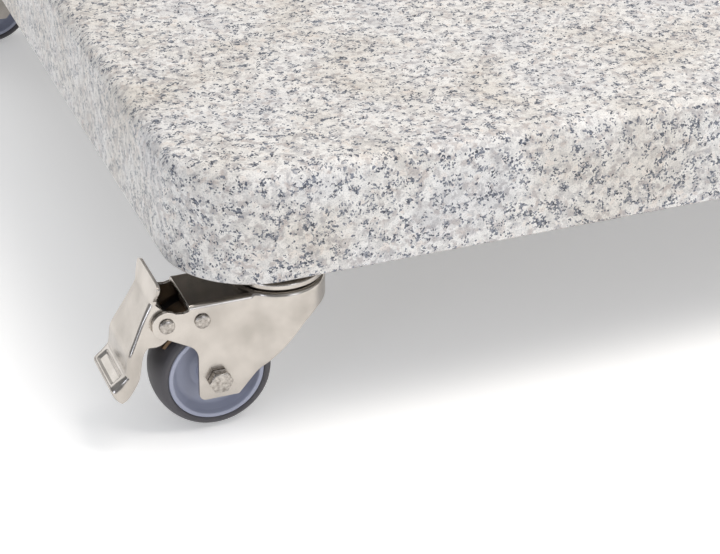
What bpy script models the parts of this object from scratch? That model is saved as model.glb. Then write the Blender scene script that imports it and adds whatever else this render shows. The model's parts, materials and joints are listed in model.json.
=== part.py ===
"""Granite base slab on four braked swivel castors.

World frame: the origin is on the floor under the middle of the slab, +Z is up, +X runs along the
slab's length and +Y along its width. The two left castors trail towards -X and the two right ones
towards +X, so the whole base looks the same after half a turn about Z.

Castor frame: the origin is on the swivel axis, in the plane of the slab's underside. The wheel
trails towards -X, its axle runs along Y, and the bolt's head is on the -Y side. Everything on a
castor hangs below that plane, so it can turn under the slab. Outlines are (x, z) points.
"""

import math

import bmesh
import bpy
from mathutils import Matrix, Vector

MM = 0.001
GAP = 0.3 * MM  # between faces that touch on the real base
TURNING_GAP = 0.4 * MM  # between a pivot's pin and what turns on it

# Slab
SLAB_LENGTH = 700 * MM
SLAB_WIDTH = 700 * MM
SLAB_THICKNESS = 70 * MM
CORNER_RADIUS = 57 * MM
TOP_ROUND = 10 * MM
BOTTOM_ROUND = 2.5 * MM
CASTOR_INSET_X = 68 * MM  # swivel axis to the slab's left or right side
CASTOR_INSET_Y = 44 * MM  # swivel axis to the slab's front or back side

# Threaded insert and the bolt that holds a castor in it
INSERT_RADIUS = 9 * MM
INSERT_LENGTH = 40 * MM
INSERT_CAP = 4 * MM
MOUNT_BOLT_RADIUS = 5 * MM
MOUNT_BOLT_LENGTH = 50 * MM
MOUNT_BOLT_HEAD = 6.4 * MM
MOUNT_BOLT_FLATS = 16 * MM

# Swivel head: a pressed cup on a hollow kingpin with a riveted flange
BOSS_RADIUS = 15 * MM
CUP_TOP = -10.6 * MM
CUP_SHEET = 1.8 * MM
CUP_RADIUS = 28 * MM
CUP_RIM = 4.4 * MM
CUP_EDGE = 1.4 * MM
KINGPIN_RADIUS = 8 * MM
FLANGE_RADIUS = 11.5 * MM
FLANGE_THICKNESS = 2.9 * MM

# Ball cage
BALL_RADIUS = 1.75 * MM
BALL_COUNT = 8
BALL_CIRCLE = 20.5 * MM
CAGE_WIDTH = 6 * MM
CAGE_SHEET = 1.2 * MM

# Wheel
WHEEL_RADIUS = 37.5 * MM
WHEEL_WIDTH = 32 * MM
TREAD_FLAT = 8 * MM  # width of the nearly flat middle of the crowned tread
SHOULDER_DROP = 5.2 * MM  # how much lower the tread is where it turns into the side
RIM_RADIUS = 29.8 * MM
RIM_LIP = 2.8 * MM
SEAT_DEPTH = 3 * MM  # how deep the tyre sits in the rim
SEAT_WIDTH = 22 * MM
WEB_THICKNESS = 12 * MM
HUB_RADIUS = 9.5 * MM
SLEEVE_RADIUS = 6 * MM
AXLE_RADIUS = 4 * MM
AXLE_HEAD = 5.3 * MM
AXLE_FLATS = 13 * MM
NUT_HEIGHT = 7 * MM
BOLT_TIP = 2 * MM  # how far the axle bolt stands out of its nut
TRAIL = 45 * MM  # swivel axis to axle

# Fork
FORK_SHEET = 2.5 * MM
CROWN_TOP = -16.5 * MM
CROWN_RADIUS = 28.5 * MM
CROWN_FRONT = -30 * MM  # lower edge of the crown at its front
ROOF_TOP = -18 * MM
ROOF_END = 17 * MM  # roof's free edge behind the axle
BEND_RADIUS = 3.5 * MM
WHEEL_SIDE_ROOM = 2 * MM
WHEEL_HEADROOM = 13.5 * MM
EAR_RADIUS = 9 * MM
LEG_END = 13.1 * MM  # leg's lower edge below the axle
LEG_BACK = 12.6 * MM  # leg's back edge behind the axle

# Brake
LEVER_PIN_REACH = 15.3 * MM  # pin's distance from the tread
LEVER_PIN_ANGLE = math.radians(35.4)  # from straight above the axle, towards the back
SHOE_PIN_REACH = 5.7 * MM
SHOE_PIN_ANGLE = math.radians(12)
PIN_RADIUS = 3 * MM
RIVET_RADIUS = 4.7 * MM
RIVET_HEIGHT = 2.2 * MM
LEVER_SHEET = 2 * MM
LEVER_FLARE = 5 * MM  # how much wider the foot is, on each side
FLARE_START = -9 * MM  # where the lever begins to get wider, behind its pin
FLARE_LENGTH = 17 * MM
TAB_FLARE = 4.4 * MM
TAB_START = 16 * MM  # where the tab begins to get wider, above the lever's pin
TAB_LENGTH = 10 * MM
SHOE_SHEET = 2.2 * MM
SHOE_HALF_WIDTH = 13.5 * MM
SHOE_CLEARANCE = 0.8 * MM
SHOE_EYE = 4.8 * MM
SHOE_SPAN = (math.radians(10), math.radians(54))  # from above the axle, towards the back
CAM_HALF_WIDTH = 13 * MM

# Worked out from the sizes above
FORK_INNER = WHEEL_WIDTH / 2 + WHEEL_SIDE_ROOM
FORK_OUTER = FORK_INNER + FORK_SHEET
AXLE_Z = ROOF_TOP - FORK_SHEET - WHEEL_HEADROOM - WHEEL_RADIUS
CASTOR_HEIGHT = WHEEL_RADIUS - AXLE_Z
LEVER_HALF = FORK_INNER - TURNING_GAP
FLANGE_TOP = CROWN_TOP - FORK_SHEET - TURNING_GAP
KINGPIN_END = FLANGE_TOP - FLANGE_THICKNESS
DEEP = CASTOR_HEIGHT + 10 * MM  # past the bottom of any castor piece

WHEEL_SIDES = 20  # a multiple of four, so that a flat stands on the floor
CROWN_SIDES = 16  # sides of the crown, the cup and the kingpin
PIN_SIDES = 10  # sides of a pin, a bore and other small round pieces

AXLE = Vector((-TRAIL, AXLE_Z))


def above_axle(reach, angle):
    """The (x, z) point at that distance from the tread, turned back from straight above the axle."""
    distance = WHEEL_RADIUS + reach
    return AXLE + Vector((-math.sin(angle), math.cos(angle))) * distance


LEVER_PIN = above_axle(LEVER_PIN_REACH, LEVER_PIN_ANGLE)
SHOE_PIN = above_axle(SHOE_PIN_REACH, SHOE_PIN_ANGLE)


CORNERS = {
    name: (
        (sx * (SLAB_LENGTH / 2 - CASTOR_INSET_X), sy * (SLAB_WIDTH / 2 - CASTOR_INSET_Y)),
        math.pi if sx > 0 else 0.0,
    )
    for name, sx, sy in [
        ("front_left", -1, -1), ("front_right", 1, -1), ("back_left", -1, 1), ("back_right", 1, 1)
    ]
}


# ---- Shapes ---------------------------------------------------------------------------------


def arc(centre, radius, start, end, steps):
    """Points along an arc of a circle; the angles are in degrees from +x towards +z."""
    angles = [math.radians(start + (end - start) * i / steps) for i in range(steps + 1)]
    return [Vector(centre) + Vector((math.cos(a), math.sin(a))) * radius for a in angles]


def turned(profile, segments, along="Z"):
    """Spins (radius, height) points about an axis. A profile that starts and ends on the axis is
    a solid one, and any other closes on itself. The flats of the polygon touch the true circle."""
    bm = bmesh.new()
    half_step = math.pi / segments
    start = Matrix.Rotation(half_step, 4, "Z") @ Matrix.Diagonal(
        (1 / math.cos(half_step), 1, 1, 1)
    )
    verts = [bm.verts.new(start @ Vector((r, 0, h))) for r, h in profile]
    ends = list(zip(verts, verts[1:]))
    if profile[0][0] > 0:
        ends.append((verts[-1], verts[0]))
    edges = [bm.edges.new(pair) for pair in ends]
    bmesh.ops.spin(
        bm, geom=verts + edges, cent=(0, 0, 0), axis=(0, 0, 1),
        angle=2 * math.pi, steps=segments, use_merge=True,
    )
    bmesh.ops.remove_doubles(bm, verts=bm.verts, dist=0.0001 * MM)
    if along == "Y":
        bm.transform(Matrix.Rotation(math.radians(-90), 4, "X"))
    bmesh.ops.recalc_face_normals(bm, faces=bm.faces)
    return bm


def rod(radius, start, end, segments=PIN_SIDES, along="Y"):
    """A plain round bar between two places on its axis."""
    return turned([(0, start), (radius, start), (radius, end), (0, end)], segments, along)


def prism(outline, half_width, cuts=()):
    """An (x, z) outline made solid on both sides of the plane y = 0. half_width is a number, or a
    function of (x, z) where the piece gets wider, followed at the outline and along the cuts."""
    width = half_width if callable(half_width) else lambda x, z: half_width
    bm = bmesh.new()
    bm.faces.new([bm.verts.new((x, 0, z)) for x, z in outline])
    for x in cuts:
        everything = [*bm.verts, *bm.edges, *bm.faces]
        bmesh.ops.bisect_plane(bm, geom=everything, plane_co=(x, 0, 0), plane_no=(1, 0, 0))
    near = list(bm.verts)
    raised = bmesh.ops.extrude_face_region(bm, geom=list(bm.faces))["geom"]
    far = [item for item in raised if isinstance(item, bmesh.types.BMVert)]
    for side, verts in [(-1, near), (1, far)]:
        for vert in verts:
            vert.co.y = side * width(vert.co.x, vert.co.z)
    bmesh.ops.triangulate(bm, faces=[f for f in bm.faces if len(f.verts) > 4])
    bmesh.ops.recalc_face_normals(bm, faces=bm.faces)
    return bm


def moved(bm, offset):
    """The same shape, moved by an (x, z) offset."""
    bm.transform(Matrix.Translation((offset[0], 0, offset[1])))
    return bm


def rounded_edges(bm, radius, segments, chosen):
    """Rounds the edges that the test chosen(edge) picks."""
    edges = [e for e in bm.edges if chosen(e)]
    bmesh.ops.bevel(
        bm, geom=edges, offset=radius, offset_type="OFFSET", segments=segments,
        profile=0.5, affect="EDGES", clamp_overlap=True,
    )
    return bm


def as_mesh(bm, name):
    mesh = bpy.data.meshes.new(name)
    bm.to_mesh(mesh)
    bm.free()
    return mesh


def carved(name, base, steps):
    """Joins or cuts the base with each (operation, shape) in turn and returns the mesh."""
    body = bpy.data.objects.new(name, as_mesh(base, name))
    bpy.context.scene.collection.objects.link(body)
    tools = []
    for operation, shape in steps:
        tool = bpy.data.objects.new(name + "_tool", as_mesh(shape, name + "_tool"))
        tool.hide_render = True
        tool.display_type = "WIRE"
        bpy.context.scene.collection.objects.link(tool)
        step = body.modifiers.new(operation.lower(), "BOOLEAN")
        step.operation = operation
        step.solver = "EXACT"
        step.object = tool
        tools.append(tool)
    bpy.context.view_layer.update()
    graph = bpy.context.evaluated_depsgraph_get()
    mesh = bpy.data.meshes.new_from_object(body.evaluated_get(graph))
    mesh.name = name
    for item in [body, *tools]:
        bpy.data.objects.remove(item)
    return mesh


# ---- Slab -----------------------------------------------------------------------------------


def slab_mesh():
    """A square plate with round corners, a soft top edge and a blind hole for each insert."""
    reach_x = SLAB_LENGTH / 2 - CORNER_RADIUS
    reach_y = SLAB_WIDTH / 2 - CORNER_RADIUS
    outline = []
    for turn, (x, y) in enumerate([(1, 1), (-1, 1), (-1, -1), (1, -1)]):
        centre = (x * reach_x, y * reach_y)
        outline += arc(centre, CORNER_RADIUS, 90 * turn, 90 * turn + 90, 6)
    bm = bmesh.new()
    bottom = bm.faces.new([bm.verts.new((x, y, 0)) for x, y in outline])
    raised = bmesh.ops.extrude_face_region(bm, geom=[bottom])["geom"]
    top = [item for item in raised if isinstance(item, bmesh.types.BMVert)]
    bmesh.ops.translate(bm, verts=top, vec=(0, 0, SLAB_THICKNESS))
    bmesh.ops.recalc_face_normals(bm, faces=bm.faces)
    for level, radius, steps in [(SLAB_THICKNESS, TOP_ROUND, 4), (0, BOTTOM_ROUND, 1)]:
        rounded_edges(
            bm, radius, steps, lambda e: all(abs(v.co.z - level) < GAP for v in e.verts)
        )
    bm.transform(Matrix.Translation((0, 0, CASTOR_HEIGHT)))
    holes = []
    for place, _ in CORNERS.values():
        hole = rod(
            INSERT_RADIUS + GAP, -BOTTOM_ROUND, INSERT_LENGTH + 2 * GAP, PIN_SIDES, "Z"
        )
        hole.transform(Matrix.Translation((*place, CASTOR_HEIGHT)))
        holes.append(("DIFFERENCE", hole))
    return carved("granite_slab", bm, holes)


# ---- Castor pieces that stay with the slab --------------------------------------------------


def insert_mesh():
    """A threaded bush, closed at its top, glued into the slab."""
    bore = MOUNT_BOLT_RADIUS + GAP
    ceiling = GAP + INSERT_LENGTH - INSERT_CAP
    profile = [
        (0, ceiling), (bore, ceiling), (bore, GAP), (INSERT_RADIUS, GAP),
        (INSERT_RADIUS, GAP + INSERT_LENGTH), (0, GAP + INSERT_LENGTH),
    ]
    return as_mesh(turned(profile, PIN_SIDES), "threaded_insert")


def mounting_bolt_mesh():
    """A hexagon bolt that comes up through the kingpin into the insert."""
    seat = KINGPIN_END - GAP
    head = turned(
        [
            (0, seat - MOUNT_BOLT_HEAD), (MOUNT_BOLT_FLATS / 2, seat - MOUNT_BOLT_HEAD),
            (MOUNT_BOLT_FLATS / 2, seat), (0, seat),
        ],
        6,
    )
    shank = rod(MOUNT_BOLT_RADIUS, seat - MM, seat + MOUNT_BOLT_LENGTH, PIN_SIDES, "Z")
    return carved("mounting_bolt", head, [("UNION", shank)])


def swivel_head_mesh():
    """The pressed cup of the swivel bearing, on the hollow kingpin that carries the fork."""
    bore = MOUNT_BOLT_RADIUS + GAP
    rim_bottom = CUP_TOP - CUP_RIM
    underside = CUP_TOP - CUP_SHEET
    profile = [
        (bore, -GAP), (BOSS_RADIUS, -GAP), (BOSS_RADIUS, CUP_TOP),
        (CUP_RADIUS - CUP_EDGE, CUP_TOP), (CUP_RADIUS, CUP_TOP - CUP_EDGE),
        (CUP_RADIUS, rim_bottom), (CUP_RADIUS - CUP_SHEET, rim_bottom),
        (CUP_RADIUS - CUP_SHEET, underside), (KINGPIN_RADIUS, underside),
        (KINGPIN_RADIUS, FLANGE_TOP), (FLANGE_RADIUS, FLANGE_TOP),
        (FLANGE_RADIUS, KINGPIN_END), (bore, KINGPIN_END),
    ]
    return as_mesh(turned(profile, CROWN_SIDES), "swivel_head")


def ball_cage_mesh():
    """A pressed ring that keeps the balls apart between the cup and the fork's crown."""
    middle = (CUP_TOP - CUP_SHEET + CROWN_TOP) / 2
    inner = BALL_CIRCLE - CAGE_WIDTH / 2
    outer = BALL_CIRCLE + CAGE_WIDTH / 2
    low = middle - CAGE_SHEET / 2
    high = middle + CAGE_SHEET / 2
    ring = turned([(inner, low), (outer, low), (outer, high), (inner, high)], BALL_COUNT)
    balls = []
    for i in range(BALL_COUNT):
        angle = 2 * math.pi * i / BALL_COUNT
        place = Matrix.Translation(
            (BALL_CIRCLE * math.cos(angle), BALL_CIRCLE * math.sin(angle), middle)
        )
        ball = bmesh.new()
        bmesh.ops.create_uvsphere(
            ball, u_segments=6, v_segments=4, radius=BALL_RADIUS, matrix=place
        )
        balls.append(("UNION", ball))
    return carved("ball_cage", ring, balls)


# ---- Fork and what is fixed in it -----------------------------------------------------------


def fork_mesh():
    """One pressed sheet: a round crown, a flat roof behind it, two legs and two ears."""
    roof_edge = AXLE.x - ROOF_END
    side = [
        Vector((0, ROOF_TOP)),
        Vector((roof_edge, ROOF_TOP)),
        Vector((roof_edge - 1.8 * MM, ROOF_TOP - 3.6 * MM)),
        *arc(LEVER_PIN, EAR_RADIUS, 48, 264, 6),
        AXLE + Vector((-19.3, 27.2)) * MM,
        AXLE + Vector((-13.4, 22)) * MM,
        AXLE + Vector((-LEG_BACK + 0.8 * MM, 12 * MM)),
        AXLE + Vector((-LEG_BACK, 4.5 * MM - LEG_END)),
        AXLE + Vector((4 * MM - LEG_BACK, -LEG_END)),
        Vector((0, AXLE_Z - LEG_END)),
    ]
    legs = rounded_edges(
        prism(side, FORK_OUTER), BEND_RADIUS * 0.8, 1,
        lambda e: abs(e.verts[0].co.y - e.verts[1].co.y) < GAP
        and all(abs(v.co.z - ROOF_TOP) < GAP for v in e.verts),
    )
    crown = turned(
        [
            (0, -DEEP), (CROWN_RADIUS, -DEEP), (CROWN_RADIUS, CROWN_TOP - BEND_RADIUS),
            (CROWN_RADIUS - BEND_RADIUS, CROWN_TOP), (0, CROWN_TOP),
        ],
        CROWN_SIDES,
    )
    far_back = LEVER_PIN.x - 2 * EAR_RADIUS
    behind_roof = roof_edge - GAP
    roof_underside = ROOF_TOP - FORK_SHEET
    between = prism(
        [
            (0, roof_underside), (behind_roof, roof_underside), (behind_roof, 0), (far_back, 0),
            (far_back, -2 * DEEP), (0, -2 * DEEP),
        ],
        FORK_INNER,
    )
    inner_radius = CROWN_RADIUS - FORK_SHEET
    under_crown = turned(
        [
            (0, -2 * DEEP), (inner_radius, -2 * DEEP),
            (inner_radius, CROWN_TOP - BEND_RADIUS),
            (CROWN_RADIUS - BEND_RADIUS, CROWN_TOP - FORK_SHEET), (0, CROWN_TOP - FORK_SHEET),
        ],
        CROWN_SIDES,
    )
    clear_of_crown = CROWN_RADIUS + 5 * MM
    front = [
        AXLE + Vector((11.3, -14.1)) * MM,
        Vector((7.4 * MM, CROWN_FRONT - 9.2 * MM)),
        Vector((16 * MM, CROWN_FRONT - 3.6 * MM)),
        Vector((CROWN_RADIUS + MM, CROWN_FRONT)),
        Vector((clear_of_crown, CROWN_FRONT)),
        Vector((clear_of_crown, -3 * DEEP)),
        Vector((AXLE.x + 11.3 * MM, -3 * DEEP)),
    ]
    span = FORK_OUTER + 10 * MM
    steps = [
        ("UNION", crown),
        ("DIFFERENCE", prism(front, clear_of_crown)),
        ("DIFFERENCE", between),
        ("DIFFERENCE", under_crown),
        ("DIFFERENCE", rod(KINGPIN_RADIUS + TURNING_GAP, -DEEP, 0, CROWN_SIDES, "Z")),
        ("DIFFERENCE", moved(rod(AXLE_RADIUS + GAP, -span, span), AXLE)),
        ("DIFFERENCE", moved(rod(PIN_RADIUS + GAP, -span, span), LEVER_PIN)),
        ("DIFFERENCE", moved(rod(PIN_RADIUS + GAP, -span, span), SHOE_PIN)),
    ]
    return carved("fork", legs, steps)


def axle_bolt_mesh():
    """A hexagon bolt through both legs and the sleeve, modelled about the axle's middle."""
    seat = -FORK_OUTER - GAP
    tip = FORK_OUTER + GAP + NUT_HEIGHT + BOLT_TIP
    head = turned(
        [
            (0, seat - AXLE_HEAD), (AXLE_FLATS / 2 - MM, seat - AXLE_HEAD),
            (AXLE_FLATS / 2, seat - AXLE_HEAD + 0.6 * MM), (AXLE_FLATS / 2, seat), (0, seat),
        ],
        6, "Y",
    )
    return carved("axle_bolt", head, [("UNION", rod(AXLE_RADIUS, seat - MM, tip))])


def axle_nut_mesh():
    """A hexagon nut on the far leg."""
    start = FORK_OUTER + GAP
    nut = turned(
        [
            (0, start), (AXLE_FLATS / 2, start), (AXLE_FLATS / 2, start + NUT_HEIGHT),
            (0, start + NUT_HEIGHT),
        ],
        6, "Y",
    )
    bore = rod(AXLE_RADIUS + GAP, 0, 2 * (start + NUT_HEIGHT))
    return carved("axle_nut", nut, [("DIFFERENCE", bore)])


def axle_sleeve_mesh():
    """The spacer tube that the hub turns on, clamped between the legs."""
    inner, outer, half = AXLE_RADIUS + GAP, SLEEVE_RADIUS, FORK_INNER - GAP
    profile = [(inner, -half), (outer, -half), (outer, half), (inner, half)]
    return as_mesh(turned(profile, PIN_SIDES, "Y"), "axle_sleeve")


def pin_mesh(name):
    """A rivet through both sides of the fork with a domed head at each end."""
    seat = FORK_OUTER + GAP
    top = seat + RIVET_HEIGHT
    half = [(PIN_RADIUS, seat), (RIVET_RADIUS, seat), (RIVET_RADIUS * 0.72, top - 0.6 * MM)]
    profile = [(0, -top)] + [(r, -h) for r, h in reversed(half)] + half + [(0, top)]
    return as_mesh(turned(profile, PIN_SIDES, "Y"), name)


# ---- Wheel, modelled about the axle's middle ------------------------------------------------


def wheel_rim_mesh():
    """A moulded centre: a lip at each side, a dished web and a hub with a plain bore."""
    side, seat, web = WHEEL_WIDTH / 2, SEAT_WIDTH / 2, WEB_THICKNESS / 2
    bore = SLEEVE_RADIUS + TURNING_GAP
    hub_end = FORK_INNER - 2 * TURNING_GAP
    half = [
        (RIM_RADIUS - SEAT_DEPTH, seat), (RIM_RADIUS, seat), (RIM_RADIUS, side),
        (RIM_RADIUS - RIM_LIP, side), (HUB_RADIUS, web), (HUB_RADIUS, hub_end), (bore, hub_end),
    ]
    profile = [(r, -h) for r, h in reversed(half)] + half
    return as_mesh(turned(profile, WHEEL_SIDES, "Y"), "wheel_rim")


def tyre_mesh():
    """A soft crowned tread, moulded into the groove round the rim."""
    side, seat = WHEEL_WIDTH / 2, SEAT_WIDTH / 2 - GAP
    shoulder = WHEEL_RADIUS - SHOULDER_DROP
    half = [
        (WHEEL_RADIUS, TREAD_FLAT / 2),
        (WHEEL_RADIUS - SHOULDER_DROP * 0.38, side * 0.66),
        (shoulder, side - 0.6 * MM), (RIM_RADIUS + GAP, side),
        (RIM_RADIUS + GAP, seat), (RIM_RADIUS - SEAT_DEPTH + GAP, seat),
    ]
    profile = [(r, -h) for r, h in reversed(half)] + half
    return as_mesh(turned(profile, WHEEL_SIDES, "Y"), "tyre")


# ---- Brake ----------------------------------------------------------------------------------


def lever_half_width(x, z):
    """Half of the lever's outer width at a point in the lever pin's frame: it gets wider towards
    the tab's free edge and towards the foot."""
    tab = min(max((z - TAB_START) / TAB_LENGTH, 0), 1)
    foot = min(max((FLARE_START - x) / FLARE_LENGTH, 0), 1)
    return LEVER_HALF + TAB_FLARE * tab + LEVER_FLARE * foot * foot * (3 - 2 * foot)


def offset_path(path, distance):
    """The same open path, moved to its left by that distance, with mitred corners."""
    shifted = []
    for i, point in enumerate(path):
        before = (point - path[i - 1]).normalized() if i else None
        after = (path[i + 1] - point).normalized() if i + 1 < len(path) else None
        ahead = after or before
        behind = before or after
        middle = (ahead + behind).normalized()
        left = Vector((-middle.y, middle.x))
        shifted.append(point + left * (distance / max(middle.dot(ahead), 0.3)))
    return shifted


def brake_lever_mesh():
    """A pressed channel in the lever pin's frame: a tab at the top, a plate, and a foot below.
    A cam tongue inside presses the shoe."""
    outer = [
        Vector(p) * MM
        for p in [
            (-4.4, 26.9), (-7, 17.6), (-24.9, -16.7), (-26.2, -28.6), (-36, -36.4),
            (-32.9, -45.1),
        ]
    ]
    inner = offset_path(outer, LEVER_SHEET)
    flange = [
        Vector(p) * MM
        for p in [
            (-30.6, -46.2), (-24.6, -43.2), (-17.8, -32.1), (-15.3, -18.6), (-12.4, -14.5),
            (-7.4, -15.1), (-3.7, -14.4),
        ]
    ]
    eye = arc((0, 0), EAR_RADIUS - 0.6 * MM, -75, 80, 5)
    neck = [Vector((-3.6, 12.4)) * MM]
    cuts = (FLARE_START, FLARE_START - FLARE_LENGTH / 2)
    outline = [*outer, *flange, *eye, *neck, inner[1], inner[0]]
    channel = prism(outline, lever_half_width, cuts)
    past = 60 * MM
    hollow = [inner[1] + Vector((1, -2)) * MM, *inner[2:5]]
    hollow += [inner[4] + (inner[5] - inner[4]) * 3, Vector((past, -past)), Vector((past, 14 * MM))]
    room = prism(hollow, lambda x, z: lever_half_width(x, z) - LEVER_SHEET, cuts)
    cam = [
        Vector(p) * MM
        for p in [
            (-19.6, -8.5), (-4.5, -11), (-0.8, -13.6), (-0.4, -15.8), (-3.5, -15.2),
            (-21.7, -12.5),
        ]
    ]
    steps = [
        ("DIFFERENCE", room),
        ("UNION", prism(cam, CAM_HALF_WIDTH)),
        ("DIFFERENCE", rod(PIN_RADIUS + TURNING_GAP, -past, past)),
    ]
    return carved("brake_lever", channel, steps)


def brake_shoe_mesh():
    """A curved plate over the tread, hung on its own pin, in that pin's frame."""
    inside = WHEEL_RADIUS + SHOE_CLEARANCE
    outside = inside + SHOE_SHEET
    start, end = (90 + math.degrees(a) for a in SHOE_SPAN)
    centre = AXLE - SHOE_PIN
    plate = prism(
        arc(centre, inside, start, end, 5) + arc(centre, outside, end, start, 5),
        SHOE_HALF_WIDTH,
    )
    eye = rod(SHOE_EYE, 0.5 * MM - SHOE_HALF_WIDTH, SHOE_HALF_WIDTH - 0.5 * MM)
    bore = rod(PIN_RADIUS + TURNING_GAP, -2 * SHOE_HALF_WIDTH, 2 * SHOE_HALF_WIDTH)
    return carved("brake_shoe", plate, [("UNION", eye), ("DIFFERENCE", bore)])


# ---- Materials and assembly -----------------------------------------------------------------


def material(name, colour, roughness, metallic):
    made = bpy.data.materials.new(name)
    made.use_nodes = True
    shader = made.node_tree.nodes["Principled BSDF"]
    shader.inputs["Base Color"].default_value = (*colour, 1)
    shader.inputs["Roughness"].default_value = roughness
    shader.inputs["Metallic"].default_value = metallic
    return made


def empty(name, parent=None, place=(0, 0, 0), turn=0.0):
    made = bpy.data.objects.new(name, None)
    made.empty_display_size = 20 * MM
    made.parent = parent
    made.location = place
    made.rotation_euler = (0, 0, turn)
    bpy.context.scene.collection.objects.link(made)
    return made


def place_piece(name, mesh, finish, parent=None):
    piece = bpy.data.objects.new(name, mesh)
    piece.parent = parent
    bpy.context.scene.collection.objects.link(piece)
    if not mesh.materials:
        mesh.materials.append(finish)
    mesh.shade_smooth()
    mesh.set_sharp_from_angle(angle=math.radians(35))
    return piece


def build():
    for item in list(bpy.data.objects):
        bpy.data.objects.remove(item)

    granite = material("granite", (0.63, 0.62, 0.61), 0.55, 0)
    stainless = material("stainless_sheet", (0.62, 0.59, 0.56), 0.32, 1)
    fastener = material("stainless_fastener", (0.6, 0.58, 0.55), 0.3, 1)
    spring_steel = material("spring_steel", (0.25, 0.23, 0.21), 0.4, 1)
    brass = material("brass", (0.75, 0.58, 0.3), 0.35, 1)
    grey_rubber = material("grey_rubber", (0.1, 0.1, 0.105), 0.7, 0)
    grey_nylon = material("grey_nylon", (0.36, 0.37, 0.45), 0.45, 0)

    place_piece("granite_slab", slab_mesh(), granite)

    fixed = [
        ("threaded_insert", insert_mesh(), brass),
        ("mounting_bolt", mounting_bolt_mesh(), fastener),
        ("swivel_head", swivel_head_mesh(), stainless),
        ("ball_cage", ball_cage_mesh(), spring_steel),
    ]
    in_fork = [("fork", fork_mesh(), stainless)]
    at_axle = [
        ("axle_bolt", axle_bolt_mesh(), fastener),
        ("axle_nut", axle_nut_mesh(), fastener),
        ("axle_sleeve", axle_sleeve_mesh(), fastener),
        ("wheel_rim", wheel_rim_mesh(), grey_nylon),
        ("tyre", tyre_mesh(), grey_rubber),
    ]
    at_lever_pin = [
        ("lever_pin", pin_mesh("lever_pin"), fastener),
        ("brake_lever", brake_lever_mesh(), stainless),
    ]
    at_shoe_pin = [
        ("shoe_pin", pin_mesh("shoe_pin"), fastener),
        ("brake_shoe", brake_shoe_mesh(), spring_steel),
    ]
    for corner, (place, turn) in CORNERS.items():
        swivel = empty(f"{corner}_swivel_axis", None, (*place, CASTOR_HEIGHT), turn)
        frames = [
            (swivel, fixed + in_fork),
            (empty(f"{corner}_axle_axis", swivel, (AXLE.x, 0, AXLE.y)), at_axle),
            (empty(f"{corner}_lever_axis", swivel, (LEVER_PIN.x, 0, LEVER_PIN.y)), at_lever_pin),
            (empty(f"{corner}_shoe_axis", swivel, (SHOE_PIN.x, 0, SHOE_PIN.y)), at_shoe_pin),
        ]
        for frame, pieces in frames:
            for name, mesh, finish in pieces:
                place_piece(f"{corner}_{name}", mesh, finish, frame)


build()
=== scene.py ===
# %% [markdown]
# # A granite base slab on braked stainless castors
#
# This lesson builds the looks of a heavy granite base: a thick square plate of speckled stone
# that rolls on four swivel castors with a foot brake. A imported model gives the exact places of
# all its parts. We load it, measure it, and then make each visible part again as a smooth
# surface that is worked out with numpy.
#
# Everything is in metres, with +Z up and the floor at zero.

import json
import math

import bmesh
import bpy
import numpy as np
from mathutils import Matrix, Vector


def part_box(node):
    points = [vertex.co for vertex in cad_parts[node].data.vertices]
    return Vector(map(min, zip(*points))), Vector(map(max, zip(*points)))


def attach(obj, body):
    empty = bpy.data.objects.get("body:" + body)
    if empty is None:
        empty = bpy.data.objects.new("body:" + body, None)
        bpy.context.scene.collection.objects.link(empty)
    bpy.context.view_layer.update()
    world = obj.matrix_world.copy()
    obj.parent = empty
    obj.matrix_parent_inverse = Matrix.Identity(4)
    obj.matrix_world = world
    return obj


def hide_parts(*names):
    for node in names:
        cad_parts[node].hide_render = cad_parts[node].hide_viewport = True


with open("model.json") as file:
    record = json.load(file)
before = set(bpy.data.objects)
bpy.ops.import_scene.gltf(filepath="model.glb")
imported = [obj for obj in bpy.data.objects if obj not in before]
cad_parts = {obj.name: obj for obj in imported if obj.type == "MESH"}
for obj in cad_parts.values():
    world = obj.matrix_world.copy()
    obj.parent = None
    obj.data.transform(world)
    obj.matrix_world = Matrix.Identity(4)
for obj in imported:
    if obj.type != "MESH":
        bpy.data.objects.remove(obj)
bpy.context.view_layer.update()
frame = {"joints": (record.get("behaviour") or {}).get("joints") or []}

MM = 0.001

# %% [markdown]
# ## Where the castors are
#
# The record holds the axis of every joint at rest, so no place has to be typed in twice. We
# read the four swivel axes and the axle, the lever's pin and the shoe's pin of one castor. All
# castors are the same piece of hardware: the left ones trail to -X, and the right ones are
# turned half way round. So a castor is modelled once in its own frame, with the origin on the
# swivel axis at the slab's underside, and then set down four times.

# %% Read the joints
joints = {joint["name"]: joint for joint in frame["joints"]}
CORNERS = [name[: -len("_swivel")] for name in joints if name.endswith("_swivel")]

slab_low, slab_high = (np.array(c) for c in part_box("granite_slab"))
UNDERSIDE = slab_low[2]


def castor_frame(corner):
    """The swivel axis at the slab's underside, and +1 for a left castor or -1 for a right one."""
    x, y, _ = joints[f"{corner}_swivel"]["pos_m"]
    return np.array([x, y, UNDERSIDE]), joints[f"{corner}_wheel_spin"]["axis"][1]


def local_point(corner, joint):
    """The (x, z) place of a joint in its castor's own frame."""
    origin, turn = castor_frame(corner)
    offset = np.array(joints[f"{corner}_{joint}"]["pos_m"]) - origin
    return np.array([offset[0] * turn, offset[2]])


AXLE = local_point(CORNERS[0], "wheel_spin")
LEVER_PIN = local_point(CORNERS[0], "lever_release")
SHOE_PIN = local_point(CORNERS[0], "shoe_lift")
print("castors:", CORNERS)
for place, name in [(AXLE, "axle"), (LEVER_PIN, "lever pin"), (SHOE_PIN, "shoe pin")]:
    print(f"{name}: {-place[0] / MM:.1f} mm behind the swivel axis, {-place[1] / MM:.1f} mm down")

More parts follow.
